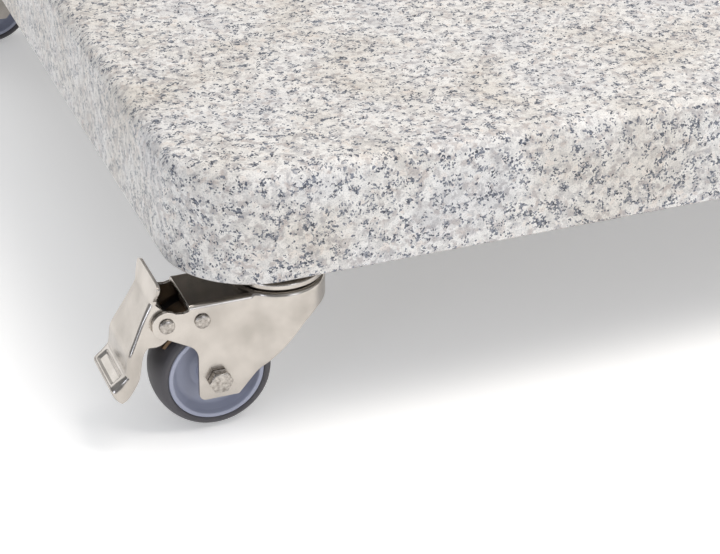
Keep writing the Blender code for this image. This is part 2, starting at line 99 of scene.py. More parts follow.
# %% [markdown]
# ## The camera
#
# A product shot of one corner is taken with a long lens from above and to the left, so that
# parallel edges stay nearly parallel. We place the camera by the way it faces: its heading
# turned from +Y, its tilt below the horizon, and how far it stands from the point that it aims
# at. That point is on the slab's front side, given from its lower left corner.

# %% Place the camera
HEADING = math.radians(21.05)
TILT = math.radians(29.8)
DISTANCE = 1.2873
AIM_ALONG = 0.10398  # from the left side, along the front
AIM_BELOW = 0.00562  # below the underside
LENS_MM = 110
SENSOR_MM = 36

aim = Vector((slab_low[0] + AIM_ALONG, slab_low[1], UNDERSIDE - AIM_BELOW))
forward = Vector(
    (math.sin(HEADING) * math.cos(TILT), math.cos(HEADING) * math.cos(TILT), -math.sin(TILT))
)
camera_data = bpy.data.cameras.new("camera")
camera_data.lens = LENS_MM
camera_data.sensor_width = SENSOR_MM
camera = bpy.data.objects.new("camera", camera_data)
camera.location = aim - forward * DISTANCE
camera.rotation_euler = forward.to_track_quat("-Z", "Y").to_euler()
bpy.context.scene.collection.objects.link(camera)
bpy.context.scene.camera = camera
print("camera at", [round(v, 3) for v in camera.location])

# %% [markdown]
# ## Tools for surfaces
#
# A surface is a grid of points. We could type in corners or push polygons by hand, but a
# formula gives a clean, even grid that is easy to change. Three tools do most of the work:
# rounded outlines, grids turned into meshes, and profiles spun about an axis.


# %% Rounded outlines
def rounded(points, radii, step=0.5 * MM, closed=False):
    """A line through corner points with each corner replaced by an arc that touches both sides.
    The arc of radius r at a corner of inner half angle h starts r / tan(h) from the corner,
    and its centre is r / sin(h) from it, on the line that halves the angle."""
    points = np.asarray(points, float)
    count = len(points)
    radii = np.broadcast_to(radii, count)
    path = []
    for i, corner in enumerate(points):
        if not closed and i in (0, count - 1) or radii[i] == 0:
            path.append(corner[None])
            continue
        back = points[i - 1] - corner
        ahead = points[(i + 1) % count] - corner
        back_length, ahead_length = np.linalg.norm(back), np.linalg.norm(ahead)
        back, ahead = back / back_length, ahead / ahead_length
        half = 0.5 * math.acos(np.clip(back @ ahead, -1, 1))
        if half > math.radians(89.5):
            path.append(corner[None])
            continue
        reach = min(radii[i] / math.tan(half), 0.49 * back_length, 0.49 * ahead_length)
        radius = reach * math.tan(half)
        middle = (back + ahead) / np.linalg.norm(back + ahead)
        centre = corner + middle * radius / math.sin(half)
        start, end = corner + back * reach - centre, corner + ahead * reach - centre
        sweep = math.pi - 2 * half
        steps = max(2, int(radius * sweep / step))
        t = np.linspace(0, 1, steps + 1)[:, None] * sweep
        path.append(centre + (start * np.sin(sweep - t) + end * np.sin(t)) / math.sin(sweep))
    return np.concatenate(path)


def resampled(path, count):
    """The same line with count points at even distances along it."""
    length = np.concatenate([[0], np.cumsum(np.linalg.norm(np.diff(path, axis=0), axis=1))])
    at = np.linspace(0, length[-1], count)
    return np.stack([np.interp(at, length, path[:, k]) for k in range(path.shape[1])], 1)


def smoothstep(x):
    """0 below 0, 1 above 1, and 3x^2 - 2x^3 in between."""
    x = np.clip(x, 0, 1)
    return x * x * (3 - 2 * x)


# %% Grids as meshes
def grid_quads(rows, columns, close_rows=False, close_columns=False):
    """Corner numbers of the quads of a grid whose points are stored row by row. A closed
    direction joins its last line to its first."""
    i = np.arange(rows if close_rows else rows - 1)[:, None]
    j = np.arange(columns if close_columns else columns - 1)[None, :]
    i_next, j_next = (i + 1) % rows, (j + 1) % columns
    quads = np.stack(
        [i * columns + j, i * columns + j_next, i_next * columns + j_next, i_next * columns + j],
        -1,
    )
    return quads.reshape(-1, 4)


def joined(*surfaces):
    """Several (points, faces) surfaces as one."""
    points, faces, start = [], [], 0
    for some_points, some_faces in surfaces:
        points.append(np.reshape(some_points, (-1, 3)))
        faces += [tuple(int(v) + start for v in face) for face in some_faces]
        start += len(points[-1])
    return np.concatenate(points), faces


def grid(points, close_rows=False, close_columns=False):
    """A surface from an array of points shaped (rows, columns, 3)."""
    rows, columns, _ = points.shape
    return points.reshape(-1, 3), grid_quads(rows, columns, close_rows, close_columns)


def spun(profile, steps=96, axis="Y"):
    """A closed surface of revolution: at angle a, a profile point (r, h) is at
    (r cos a, r sin a) across the axis and h along it. Ends at r = 0 become poles."""
    profile = np.asarray(profile, float)
    angle = np.linspace(0, 2 * math.pi, steps, endpoint=False)
    r, h = profile[:, 0, None], profile[:, 1, None]
    across, up, along = r * np.cos(angle), r * np.sin(angle), h + 0 * angle
    order = (across, up, along) if axis == "Z" else (up, along, across)
    closed = np.linalg.norm(profile[0] - profile[-1]) > 1e-9 and profile[0, 0] > 0
    return grid(np.stack(order, -1), close_rows=closed, close_columns=True)


print("a quarter turn of 5 mm radius takes", len(rounded([(0, 0), (9, 0), (9, 9)], 5, 0.5)) - 2)

# %% [markdown]
# ## From a surface to pieces of the castors
#
# `solid` makes a mesh, joins doubled points, turns the faces outwards and lets modifiers finish
# it: Solidify gives sheet metal its thickness, Boolean drills holes, and Bevel breaks the
# edges. The finished mesh is then set down at each corner with its place in the mesh itself,
# so that a pattern on Object coordinates never slides.

# %% Finish a mesh
SHARP = math.radians(38)


def mesh_from(name, surface, merge=0.002 * MM):
    """A Blender mesh with doubled points joined and its faces turned outwards."""
    points, faces = surface
    mesh = bpy.data.meshes.new(name)
    mesh.from_pydata(np.asarray(points).tolist(), [], [tuple(map(int, f)) for f in faces])
    shape = bmesh.new()
    shape.from_mesh(mesh)
    bmesh.ops.remove_doubles(shape, verts=shape.verts, dist=merge)
    bmesh.ops.dissolve_degenerate(shape, edges=shape.edges, dist=merge / 2)
    bmesh.ops.recalc_face_normals(shape, faces=shape.faces)
    shape.to_mesh(mesh)
    shape.free()
    return mesh


def solid(name, surface, thickness=0, bevel=0, drills=()):
    """The finished mesh of a piece. thickness makes an open sheet solid, inwards from its face;
    drills are surfaces that are cut away; bevel rounds the edges that are sharper than SHARP."""
    mesh = mesh_from(name, surface)
    piece = bpy.data.objects.new(name, mesh)
    bpy.context.scene.collection.objects.link(piece)
    helpers = [piece]
    if thickness:
        sheet = piece.modifiers.new("thickness", "SOLIDIFY")
        sheet.thickness, sheet.offset, sheet.use_even_offset = thickness, -1, True
    for drill in drills:
        tool = bpy.data.objects.new("drill", mesh_from("drill", drill))
        bpy.context.scene.collection.objects.link(tool)
        cut = piece.modifiers.new("cut", "BOOLEAN")
        cut.operation, cut.solver, cut.object = "DIFFERENCE", "EXACT", tool
        helpers.append(tool)
    if bevel:
        edge = piece.modifiers.new("edges", "BEVEL")
        edge.width, edge.segments, edge.limit_method = bevel, 3, "ANGLE"
        edge.angle_limit, edge.use_clamp_overlap = SHARP, False
    bpy.context.view_layer.update()
    graph = bpy.context.evaluated_depsgraph_get()
    finished = bpy.data.meshes.new_from_object(piece.evaluated_get(graph))
    for helper in helpers:
        bpy.data.objects.remove(helper)
    finished.name = name
    return finished


def set_down(name, mesh, material, place=(0, 0, 0), turn=1):
    """A new object at the origin whose mesh is moved to a place, turned half way round Z when
    turn is -1: that takes (x, y, z) to (-x, -y, z)."""
    own = mesh.copy()
    own.name = name
    co = np.empty(len(own.vertices) * 3)
    own.vertices.foreach_get("co", co)
    co = co.reshape(-1, 3) * (turn, turn, 1) + place
    own.vertices.foreach_set("co", co.ravel())
    own.update()
    own.materials.clear()
    own.materials.append(material)
    own.shade_smooth()
    own.set_sharp_from_angle(angle=SHARP)
    piece = bpy.data.objects.new(name, own)
    bpy.context.scene.collection.objects.link(piece)
    return piece


def at_each_corner(part, mesh, material, body, offset=(0, 0)):
    """Sets a castor piece down four times. offset is its (x, z) place in the castor's frame.
    Each copy stands for its CAD node and rides on that node's body."""
    for corner in CORNERS:
        origin, turn = castor_frame(corner)
        place = origin + (offset[0] * turn, 0, offset[1])
        piece = set_down(f"{corner}_{part}_look", mesh, material, place, turn)
        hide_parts(f"{corner}_{part}")
        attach(piece, "base" if body == "base" else f"{corner}_{body}")
    print(f"{part}: {len(mesh.polygons)} faces, four times")

# %% [markdown]
# ## A way to write materials
#
# Every finish below is a short list of nodes. One function adds a node with its settings and
# its links, so the lists stay easy to read: a value that is another node is linked, and any
# other value is typed into the socket. Colours are written as sRGB hex values, as on a paint
# card, and turned to the linear numbers that the renderer works in.


# %% Nodes and colours
def linear(code):
    """The linear colour of an sRGB hex value: c / 12.92 below 0.04045, and otherwise
    ((c + 0.055) / 1.055) ** 2.4, for each of red, green and blue."""
    c = np.array([int(code[i : i + 2], 16) for i in (1, 3, 5)]) / 255
    return (*np.where(c <= 0.04045, c / 12.92, ((c + 0.055) / 1.055) ** 2.4), 1.0)


def node(material, kind, settings=None, **inputs):
    """Adds a node and returns it. An input given as a node, or as (node, "output name"), is
    linked; any other value is set on the socket. Input names use _ for a space, and a trailing
    number picks among sockets of the same name."""
    made = material.node_tree.nodes.new(kind)
    for name, value in (settings or {}).items():
        setattr(made, name, value)
    for name, value in inputs.items():
        plain = name.replace("_", " ")
        socket = made.inputs[int(plain[1:])] if plain[1:].isdigit() else made.inputs[plain]
        if isinstance(value, bpy.types.Node):
            value = (value, 0)
        if isinstance(value, tuple) and isinstance(value[0], bpy.types.Node):
            material.node_tree.links.new(value[0].outputs[value[1]], socket)
        else:
            socket.default_value = value
    return made


def ramp(material, source, *stops):
    """A colour ramp: stops are (place from 0 to 1, hex colour or grey value)."""
    made = node(material, "ShaderNodeValToRGB", Fac=source)
    points = made.color_ramp.elements
    while len(points) < len(stops):
        points.new(0.5)
    for point, (place, colour) in zip(points, stops):
        point.position = place
        point.color = linear(colour) if isinstance(colour, str) else (colour,) * 3 + (1,)
    return made


def finish_of(name, **sockets):
    """A new material of that name with the given values on its shader's own sockets."""
    made = bpy.data.materials.new(name)
    made.use_nodes = True
    shader = made.node_tree.nodes["Principled BSDF"]
    for socket, value in sockets.items():
        shader.inputs[socket.replace("_", " ")].default_value = value
    return made, shader


def link(material, source, target, socket):
    """Joins a node's first output, or the named one of (node, name), to a socket."""
    output = source[0].outputs[source[1]] if isinstance(source, tuple) else source.outputs[0]
    material.node_tree.links.new(output, target.inputs[socket])


def per_metre(size_mm):
    """The Scale of a pattern on Object coordinates whose cells are that many millimetres."""
    return 1 / (size_mm * MM)


print("mid grey #808080 in linear light:", round(linear("#808080")[0], 3))

# %% [markdown]
# ## The stone: honed granite
#
# Light grey granite is an even mix of crystals that can be seen one by one: milky white
# feldspar about 4 mm wide, smoky glass-like quartz that fills the gaps between, and black mica
# flakes of about 1 mm that gather in loose swarms. A picture of stone would do, but it would
# blur close up and show its seams. Feldspar and mica are Voronoi cells instead: each cell gets
# one random number, and that number picks its tone. Quartz has no shape of its own, so it is a
# soft, uneven noise laid over the feldspar.
#
# The cells' edges are bent with a little noise, because crystals grow into each other. A mica
# cell is kept only where a wider noise is high, and that makes the swarms. A honed face is matt
# with a faint sheen, so the roughness is a little over a half on feldspar and lower on quartz
# and mica, which are harder and keep more polish. All sizes are in millimetres on Object
# coordinates, so the pattern runs through the slab as it does in real stone, round the edges
# too.

# %% Honed granite
FELDSPAR_MM = 3.6
QUARTZ_MM = 4.4
MICA_MM = 1.15
SWARM_MM = 6
CLOUD_MM = 60
WANDER_MM = 2
GRIT_MM = 0.9
BEND = 1.5 * MM

honed_granite, shader = finish_of("honed_light_granite", Specular_IOR_Level=0.45, IOR=1.54)
m = honed_granite
place = (node(m, "ShaderNodeTexCoord"), "Object")

# Crystal edges wander by about a fifth of a grain.
wander = node(m, "ShaderNodeTexNoise", Vector=place, Scale=per_metre(WANDER_MM), Detail=3.0)
centred = node(
    m, "ShaderNodeVectorMath", {"operation": "SUBTRACT"}, _0=(wander, "Color"), _1=(0.5,) * 3
)
small = node(m, "ShaderNodeVectorMath", {"operation": "SCALE"}, _0=centred, Scale=BEND)
bent = node(m, "ShaderNodeVectorMath", {"operation": "ADD"}, _0=place, _1=small)

feldspar = node(m, "ShaderNodeTexVoronoi", Vector=bent, Scale=per_metre(FELDSPAR_MM))
feldspar_grain = node(m, "ShaderNodeSeparateColor", Color=(feldspar, "Color"))
white = ramp(
    m, (feldspar_grain, "Red"),
    (0.0, "#CFCDCB"), (0.3, "#DCDAD7"), (0.62, "#E4E2DF"), (0.85, "#E9E7E4"), (1.0, "#DFD8D2"),
)

quartz = node(m, "ShaderNodeTexVoronoi", Vector=bent, Scale=per_metre(QUARTZ_MM))
quartz_grain = node(m, "ShaderNodeSeparateColor", Color=(quartz, "Color"))
smoke = ramp(
    m, (quartz_grain, "Green"), (0.0, "#B5ACA9"), (0.5, "#A9A8AB"), (1.0, "#BBB0AB")
)
patches = node(m, "ShaderNodeTexNoise", Vector=bent, Scale=per_metre(QUARTZ_MM), Detail=3.5)
quartz_share = ramp(m, (patches, "Fac"), (0.5, 0.0), (0.64, 0.8))
light_grains = node(
    m, "ShaderNodeMix", {"data_type": "RGBA"}, Factor=quartz_share, _6=white, _7=smoke
)

mica = node(m, "ShaderNodeTexVoronoi", Vector=bent, Scale=per_metre(MICA_MM))
mica_grain = node(m, "ShaderNodeSeparateColor", Color=(mica, "Color"))
swarm = node(m, "ShaderNodeTexNoise", Vector=place, Scale=per_metre(SWARM_MM), Detail=2.5)
# A cell is mica when its random number is below a limit that rises with the swarm.
limit = node(
    m, "ShaderNodeMapRange", Value=(swarm, "Fac"), From_Min=0.47, From_Max=0.66,
    To_Min=0.015, To_Max=0.62,
)
is_mica = node(
    m, "ShaderNodeMath", {"operation": "LESS_THAN"}, _0=(mica_grain, "Red"), _1=limit
)
flake = ramp(
    m, (mica_grain, "Green"), (0.0, "#363A46"), (0.3, "#545966"), (0.7, "#7E838E"),
    (1.0, "#A3A3A6"),
)
grains = node(
    m, "ShaderNodeMix", {"data_type": "RGBA"}, Factor=is_mica, _6=(light_grains, "Result"),
    _7=flake,
)

# Slow clouds of slightly warmer and greyer stone.
cloud = node(m, "ShaderNodeTexNoise", Vector=place, Scale=per_metre(CLOUD_MM), Detail=3.0)
tint = ramp(m, (cloud, "Fac"), (0.3, "#F0ECE6"), (0.55, "#FFFFFF"), (0.75, "#E9EAEE"))
stone = node(
    m, "ShaderNodeMix", {"data_type": "RGBA", "blend_type": "MULTIPLY"}, Factor=1.0,
    _6=(grains, "Result"), _7=tint,
)

# Inside each crystal the tone still changes a little, from one millimetre to the next.
grit = node(m, "ShaderNodeTexNoise", Vector=place, Scale=per_metre(GRIT_MM), Detail=2.0)
flecks = ramp(m, (grit, "Fac"), (0.3, "#CDCFD4"), (0.52, "#FFFFFF"))
stone = node(
    m, "ShaderNodeMix", {"data_type": "RGBA", "blend_type": "MULTIPLY"}, Factor=0.8,
    _6=(stone, "Result"), _7=flecks,
)

# The underside is left as it came from the saw, so it is rough. It is also darker: partly dust and
# damp, and partly painted shade for the shade under the slab, which gives the bright steel below it
# something dark to reflect.
level = node(m, "ShaderNodeSeparateXYZ", Vector=place)
sawn_shaded_underside = node(
    m, "ShaderNodeMapRange", Value=(level, "Z"), From_Min=UNDERSIDE + 1.5 * MM,
    From_Max=UNDERSIDE + 0.3 * MM, To_Min=0.0, To_Max=1.0,
)
# The darker colour multiplied in here is painted shade under the slab, together with a little dust.
underside_dust_and_painted_shade = node(
    m, "ShaderNodeMix", {"data_type": "RGBA", "blend_type": "MULTIPLY"}, Factor=sawn_shaded_underside,
    _6=(stone, "Result"), _7=linear("#95918C"),
)
link(m, (underside_dust_and_painted_shade, "Result"), shader, "Base Color")

shine = node(
    m, "ShaderNodeMix", {"data_type": "FLOAT"}, Factor=quartz_share, _2=0.56, _3=0.36
)
mica_shine = node(m, "ShaderNodeMix", {"data_type": "FLOAT"}, Factor=is_mica, _2=shine, _3=0.3)
sawn_shine = node(
    m, "ShaderNodeMix", {"data_type": "FLOAT"}, Factor=sawn_shaded_underside, _2=mica_shine, _3=0.85
)
link(m, sawn_shine, shader, "Roughness")

# Honing leaves mica flakes a few hundredths of a millimetre low, and fine grit marks.
low = node(m, "ShaderNodeMath", {"operation": "MULTIPLY"}, _0=is_mica, _1=-0.4)
height = node(m, "ShaderNodeMath", {"operation": "ADD"}, _0=low, _1=(grit, "Fac"))
bump = node(m, "ShaderNodeBump", Strength=0.25, Distance=0.06 * MM, Height=height)
link(m, bump, shader, "Normal")
print("granite:", len(m.node_tree.nodes), "nodes")

# %% [markdown]
# ## The slab
#
# The plate was sawn to size, its corners were ground round, and the top edge was then ground
# to a soft bullnose, while the bottom edge only got a small round. That is one closed outline,
# a square with round corners, carried up a short profile: near the edge, each ring of points is
# the outline pulled in by the profile's distance. A fixed number of points in each round corner
# keeps the rings in step, and both faces are filled with nested rings that shrink to the
# middle. The four bolt holes under it are drilled with Boolean, as the threaded inserts sit in
# them.

# %% Slab
CORNER_RADIUS = 57 * MM
TOP_ROUND = 10 * MM
BOTTOM_ROUND = 2.5 * MM
HOLE_ROOM = 0.3 * MM
CORNER_STEPS = 28
EDGE_STEPS = 12
NESTED_INSETS = [0.31, 0.2, 0.1, CORNER_RADIUS]  # rings inside the top and bottom faces


def square_ring(inset, half_x, half_y, radius, z):
    """One ring of a plate with round corners: the outline moved inwards by inset. In a corner
    the point is centre + (radius - inset) * (cos a, sin a), and the sides join the corners. When
    the inset passes the radius the ring turns into a plain rectangle."""
    angle = np.linspace(0, math.pi / 2, CORNER_STEPS)
    rings = []
    for quarter, (sx, sy) in enumerate([(1, 1), (-1, 1), (-1, -1), (1, -1)]):
        a = angle + quarter * math.pi / 2
        arc_radius = max(radius - inset, 0.001 * MM)
        reach_x = half_x - max(radius, inset)
        reach_y = half_y - max(radius, inset)
        rings.append(
            np.stack(
                [sx * reach_x + arc_radius * np.cos(a), sy * reach_y + arc_radius * np.sin(a),
                 np.full_like(a, z)], 1,
            )
        )
    return np.concatenate(rings)


def slab_surface(low, high):
    """A closed plate: rings in the bottom face, up the small lower round, up the side, over the
    top round and in across the top face. A quarter round of radius r has the inset
    r (1 - sin t) and the height r (1 - cos t) for t from 0 to a right angle."""
    half_x, half_y = (high[0] - low[0]) / 2, (high[1] - low[1]) / 2
    t = np.linspace(0, math.pi / 2, EDGE_STEPS)
    profile = [(inset, low[2]) for inset in NESTED_INSETS]
    profile += [
        (BOTTOM_ROUND * (1 - math.sin(a)), low[2] + BOTTOM_ROUND * (1 - math.cos(a))) for a in t
    ]
    profile += [
        (TOP_ROUND * (1 - math.cos(a)), high[2] - TOP_ROUND * (1 - math.sin(a))) for a in t
    ]
    profile += [(inset, high[2]) for inset in reversed(NESTED_INSETS)]
    rings = [square_ring(inset, half_x, half_y, CORNER_RADIUS, z) for inset, z in profile]
    points, faces = grid(np.stack(rings), close_columns=True)
    count = len(rings[0])
    last = len(points) - count
    return points, [tuple(f) for f in faces] + [
        tuple(range(count))[::-1], tuple(range(last, last + count))
    ]


insert_low, insert_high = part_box(f"{CORNERS[0]}_threaded_insert")
INSERT_RADIUS = (insert_high[1] - insert_low[1]) / 2
INSERT_TOP = insert_high[2]


def slab_hole(corner):
    """A round cutter for one insert, from below the slab to just above the insert."""
    origin, _ = castor_frame(corner)
    r = INSERT_RADIUS + HOLE_ROOM
    low, high = -2 * BOTTOM_ROUND, INSERT_TOP - UNDERSIDE + HOLE_ROOM
    points, faces = spun([(0, low), (r, low), (r, high), (0, high)], 48, "Z")
    return points + origin, faces


slab_mesh = solid(
    "granite_slab_look", slab_surface(slab_low, slab_high),
    drills=[slab_hole(corner) for corner in CORNERS],
)
slab = set_down("granite_slab_look", slab_mesh, honed_granite)
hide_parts("granite_slab")
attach(slab, "base")
print("slab:", len(slab.data.polygons), "faces,", [round(v / MM, 1) for v in slab.dimensions])

# %% [markdown]
# ## Metals, plastic and rubber
#
# The castor is stainless steel, because a granite base often stands outdoors. Its sheet parts
# were pressed from cold-rolled sheet and then tumbled bright: nearly smooth, warm light grey,
# with a very faint grain along the sheet and soft dents from the press. The bolts and rivets
# were tumbled too, and their faces keep small pits. The shoe inside is dark spring steel.
#
# A bare metal is almost only reflection, so its colour is light, its roughness carries the
# finish, and its IOR is left at the default.


# %% Metals
def metal(name, colour, worn, tone_mm, roughness, grain_mm, dents_mm, depth_mm):
    """A bare metal. Its colour wanders between two tones over tone_mm, its roughness follows a
    grain drawn out along X, and slow dents of that depth bend the reflections as pressed sheet
    does."""
    made, shader = finish_of(name, Metallic=1.0)
    place = (node(made, "ShaderNodeTexCoord"), "Object")
    slow = node(made, "ShaderNodeTexNoise", Vector=place, Scale=per_metre(tone_mm), Detail=3.0)
    tones = ramp(made, (slow, "Fac"), (0.35, colour), (0.7, worn))
    link(made, tones, shader, "Base Color")
    drawn = node(made, "ShaderNodeMapping", Vector=place, Scale=(0.06, 1.0, 1.0))
    grain = node(made, "ShaderNodeTexNoise", Vector=drawn, Scale=per_metre(grain_mm), Detail=4.0)
    low, high = roughness
    spread = node(
        made, "ShaderNodeMapRange", Value=(grain, "Fac"), From_Min=0.3, From_Max=0.7,
        To_Min=low, To_Max=high,
    )
    link(made, spread, shader, "Roughness")
    dents = node(made, "ShaderNodeTexNoise", Vector=place, Scale=per_metre(dents_mm), Detail=1.0)
    faint = node(made, "ShaderNodeMath", {"operation": "MULTIPLY"}, _0=(grain, "Fac"), _1=0.01)
    height = node(made, "ShaderNodeMath", {"operation": "ADD"}, _0=(dents, "Fac"), _1=faint)
    bump = node(made, "ShaderNodeBump", Strength=1.0, Distance=depth_mm * MM, Height=height)
    link(made, bump, shader, "Normal")
    return made


pressed_stainless = metal(
    "pressed_tumbled_stainless_sheet", "#C2BCB5", "#ADA7A0", 20, (0.2, 0.27), 0.5, 14, 0.1
)
tumbled_stainless = metal(
    "tumbled_stainless_fastener", "#BDB7B0", "#87817B", 1.9, (0.2, 0.36), 0.7, 1.6, 0.07
)
dark_spring_steel = metal(
    "oiled_spring_steel", "#6E5C49", "#4A3D31", 8, (0.3, 0.5), 0.8, 5, 0.05
)
turned_brass = metal("turned_brass", "#D8B264", "#C39C50", 9, (0.25, 0.35), 0.4, 3, 0.01)
print("pressed steel has", len(pressed_stainless.node_tree.nodes), "nodes")

# %% [markdown]
# The wheel's centre is injection-moulded polypropylene, and the grey tyre is soft
# thermoplastic rubber moulded round it. Both have the satin skin of a blasted mould. The
# rubber is duller, and its tread has picked up a little dust, so its colour wanders more.


# %% Plastic and rubber
def moulded(name, colour, other, roughness, skin_mm, skin_depth_mm, dust_mm, **sockets):
    """A moulded plastic or rubber with a fine skin and slow changes of tone."""
    made, shader = finish_of(name, **sockets)
    place = (node(made, "ShaderNodeTexCoord"), "Object")
    dust = node(made, "ShaderNodeTexNoise", Vector=place, Scale=per_metre(dust_mm), Detail=4.0)
    link(made, ramp(made, (dust, "Fac"), (0.4, colour), (0.72, other)), shader, "Base Color")
    low, high = roughness
    spread = node(
        made, "ShaderNodeMapRange", Value=(dust, "Fac"), From_Min=0.35, From_Max=0.7,
        To_Min=low, To_Max=high,
    )
    link(made, spread, shader, "Roughness")
    skin = node(made, "ShaderNodeTexNoise", Vector=place, Scale=per_metre(skin_mm), Detail=2.0)
    bump = node(
        made, "ShaderNodeBump", Strength=0.6, Distance=skin_depth_mm * MM, Height=(skin, "Fac")
    )
    link(made, bump, shader, "Normal")
    return made


moulded_polypropylene = moulded(
    "moulded_grey_polypropylene", "#9CA0B2", "#A4A8B9", (0.34, 0.44), 0.5, 0.02, 20, IOR=1.49
)
moulded_rubber = moulded(
    "moulded_grey_rubber", "#454347", "#504E52", (0.5, 0.66), 0.6, 0.05, 9, IOR=1.5
)
print("materials:", [made.name for made in bpy.data.materials])

# %% [markdown]
# ## The wheel
#
# A wheel is the plainest surface of revolution. It could be a cylinder with bevels, but the
# real outline says a lot: a crowned tread that falls away to soft shoulders, a thin ring of
# the centre standing in the tyre's side, and a dished web with a long hub. Each is drawn as
# half a profile of (radius, distance from the middle), mirrored, rounded and spun.

# %% Tyre and wheel centre
tyre_low, tyre_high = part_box(f"{CORNERS[0]}_tyre")
WHEEL_RADIUS = UNDERSIDE + AXLE[1]
WHEEL_HALF = (tyre_high[1] - tyre_low[1]) / 2
RIM_RADIUS = 29.8 * MM
JOINT = 0.2 * MM  # the fine line between the tyre and its centre
TREAD_SHARE = 0.9  # of the half width, before the shoulder turns
SHOULDER_DROP = 5 * MM
WHEEL_STEPS = 144


def mirrored(half):
    """A closed profile from its half on the side h > 0, listed from the outside inwards."""
    half = np.asarray(half, float)
    return np.concatenate([(half * (1, -1))[::-1], half])


# The tread falls a little faster than the square of the distance from its middle, and then
# turns the shoulder.
tread_y = np.linspace(0, TREAD_SHARE, 16)[1:] * WHEEL_HALF
tread = np.stack([WHEEL_RADIUS - SHOULDER_DROP * 0.8 * (tread_y / WHEEL_HALF) ** 2.2, tread_y], 1)
shoulder = rounded(
    [
        tread[-1], (WHEEL_RADIUS - SHOULDER_DROP, WHEEL_HALF),
        (RIM_RADIUS + 1.2 * MM, WHEEL_HALF), (RIM_RADIUS + JOINT, WHEEL_HALF - 0.7 * MM),
        (RIM_RADIUS + JOINT, 0.7 * WHEEL_HALF), (RIM_RADIUS - 2.6 * MM, 0.68 * WHEEL_HALF),
    ],
    np.array([0, 1.6, 0.8, 0.3, 0.3, 0]) * MM, 0.2 * MM,
)
tyre_profile = mirrored(np.concatenate([tread, shoulder[1:]]))
tyre = solid("tyre", spun(tyre_profile, WHEEL_STEPS))

# From the joint with the tyre: ring, dished web, hub and bore, as (radius, from the middle).
rim_profile = mirrored(
    rounded(
        np.array([
            (26.6, 10.7), (29.8, 10.7), (29.8, 15.9), (27.1, 15.9), (26.3, 12.6), (23.4, 8.2),
            (14.2, 6.2), (10.6, 7.2), (9.5, 11), (9.5, 17.2), (6.4, 17.2),
        ]) * MM,
        np.array([0, 0.3, 0.8, 0.9, 2, 4, 3, 2, 3, 0.5, 0]) * MM, 0.25 * MM,
    )
)
rim = solid("wheel_rim", spun(rim_profile, WHEEL_STEPS))
at_each_corner("tyre", tyre, moulded_rubber, "wheel", AXLE)
at_each_corner("wheel_rim", rim, moulded_polypropylene, "wheel", AXLE)

# %% [markdown]
# ## Bolts, nuts and rivets
#
# A hexagon bolt head is a six-sided bar that was turned on a lathe: the tool cuts a cone off
# its corners, and that leaves the curved edges that make a real bolt look real. The cone is
# part of the formula: at each angle the side runs out to the hexagon, and its end is lowered
# by how far the hexagon stands out past the cone's small circle.
#
# A thread is the same kind of surface, with a radius that rises and falls once per pitch along
# the bolt and slides one pitch in each turn.

# %% Hexagons and threads
HEX_STEPS = 120
ROD_STEPS = 72
CHAMFER = math.tan(math.radians(30))
TURNED_SHARE = 0.94  # the circle left flat on a hexagon's end, as a share of its flats
THREAD_DEPTH = 0.6  # of the pitch


def hexagon(flats, start, end, chamfer_start=False, bore=0.0, axis="Y", turn=0.0):
    """A hexagonal bar from start to end along the axis with the corners of its far end turned
    down. The hexagon's radius at angle a is (flats / 2) / cos(a folded into -30..30 degrees),
    and the end falls by tan 30 times what stands out past the turned circle."""
    a = np.linspace(0, 2 * math.pi, HEX_STEPS, endpoint=False)
    folded = (a + math.pi / 6) % (math.pi / 3) - math.pi / 6
    reach = flats / 2 / np.cos(folded)
    circle = TURNED_SHARE * flats / 2
    fall = np.maximum(reach - circle, 0) * CHAMFER * math.copysign(1, end - start)
    flat_ring = np.full_like(a, circle)
    rings = [
        (np.full_like(a, bore), np.full_like(a, start)),
        (flat_ring, np.full_like(a, start)),
        (reach, start + (fall if chamfer_start else 0 * a)),
        (reach, end - fall),
        (flat_ring, np.full_like(a, end)),
        (np.full_like(a, bore), np.full_like(a, end)),
    ]
    r = np.stack([ring[0] for ring in rings])
    h = np.stack([ring[1] for ring in rings])
    across, up = r * np.cos(a + turn), r * np.sin(a + turn)
    order = (across, up, h) if axis == "Z" else (across, h, up)
    return grid(np.stack(order, -1), close_rows=bore > 0, close_columns=True)


def threaded_rod(radius, pitch, start, thread_start, end, axis="Y"):
    """A rod with a thread from thread_start to end: there the radius is
    R - depth |2 frac(h / pitch - a / 2 pi) - 1|, and the tip is turned to a short cone."""
    sign = math.copysign(1, end - start)
    count = int(abs(end - thread_start) / pitch * 10)
    h = np.concatenate([[start], np.linspace(thread_start, end, count)])[:, None]
    a = np.linspace(0, 2 * math.pi, ROD_STEPS, endpoint=False)[None, :]
    wave = np.abs(2 * ((h / pitch - a / (2 * math.pi)) % 1) - 1)
    cut = THREAD_DEPTH * pitch * wave * (sign * (h - thread_start) > 0)
    cone = np.maximum(0, 0.8 * pitch - sign * (end - h)) * 1.2
    r = np.maximum(radius - cut - cone, 0.5 * radius)
    centre = np.zeros((1, a.shape[1]))
    r = np.concatenate([centre, r, centre])
    h = np.concatenate([h[:1], h, h[-1:]]) + 0 * a
    order = (r * np.cos(a), r * np.sin(a), h) if axis == "Z" else (r * np.cos(a), h, r * np.sin(a))
    return grid(np.stack(order, -1), close_columns=True)


# %% Axle bolt and nut
EDGE = 0.25 * MM
bolt_low, bolt_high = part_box(f"{CORNERS[0]}_axle_bolt")
swivel_y = castor_frame(CORNERS[0])[0][1]
AXLE_RADIUS = 4 * MM
AXLE_FLATS = 13 * MM
AXLE_PITCH = 1.25 * MM
LEG_OUTER = 20.5 * MM
FIT = 0.3 * MM
HEAD_TOP = bolt_low[1] - swivel_y
BOLT_END = bolt_high[1] - swivel_y
NUT_HEIGHT = 7 * MM
COLLAR = 1.8 * MM
HEAD_TURN = math.radians(30)  # a flat on top
NUT_TURN = 0.35

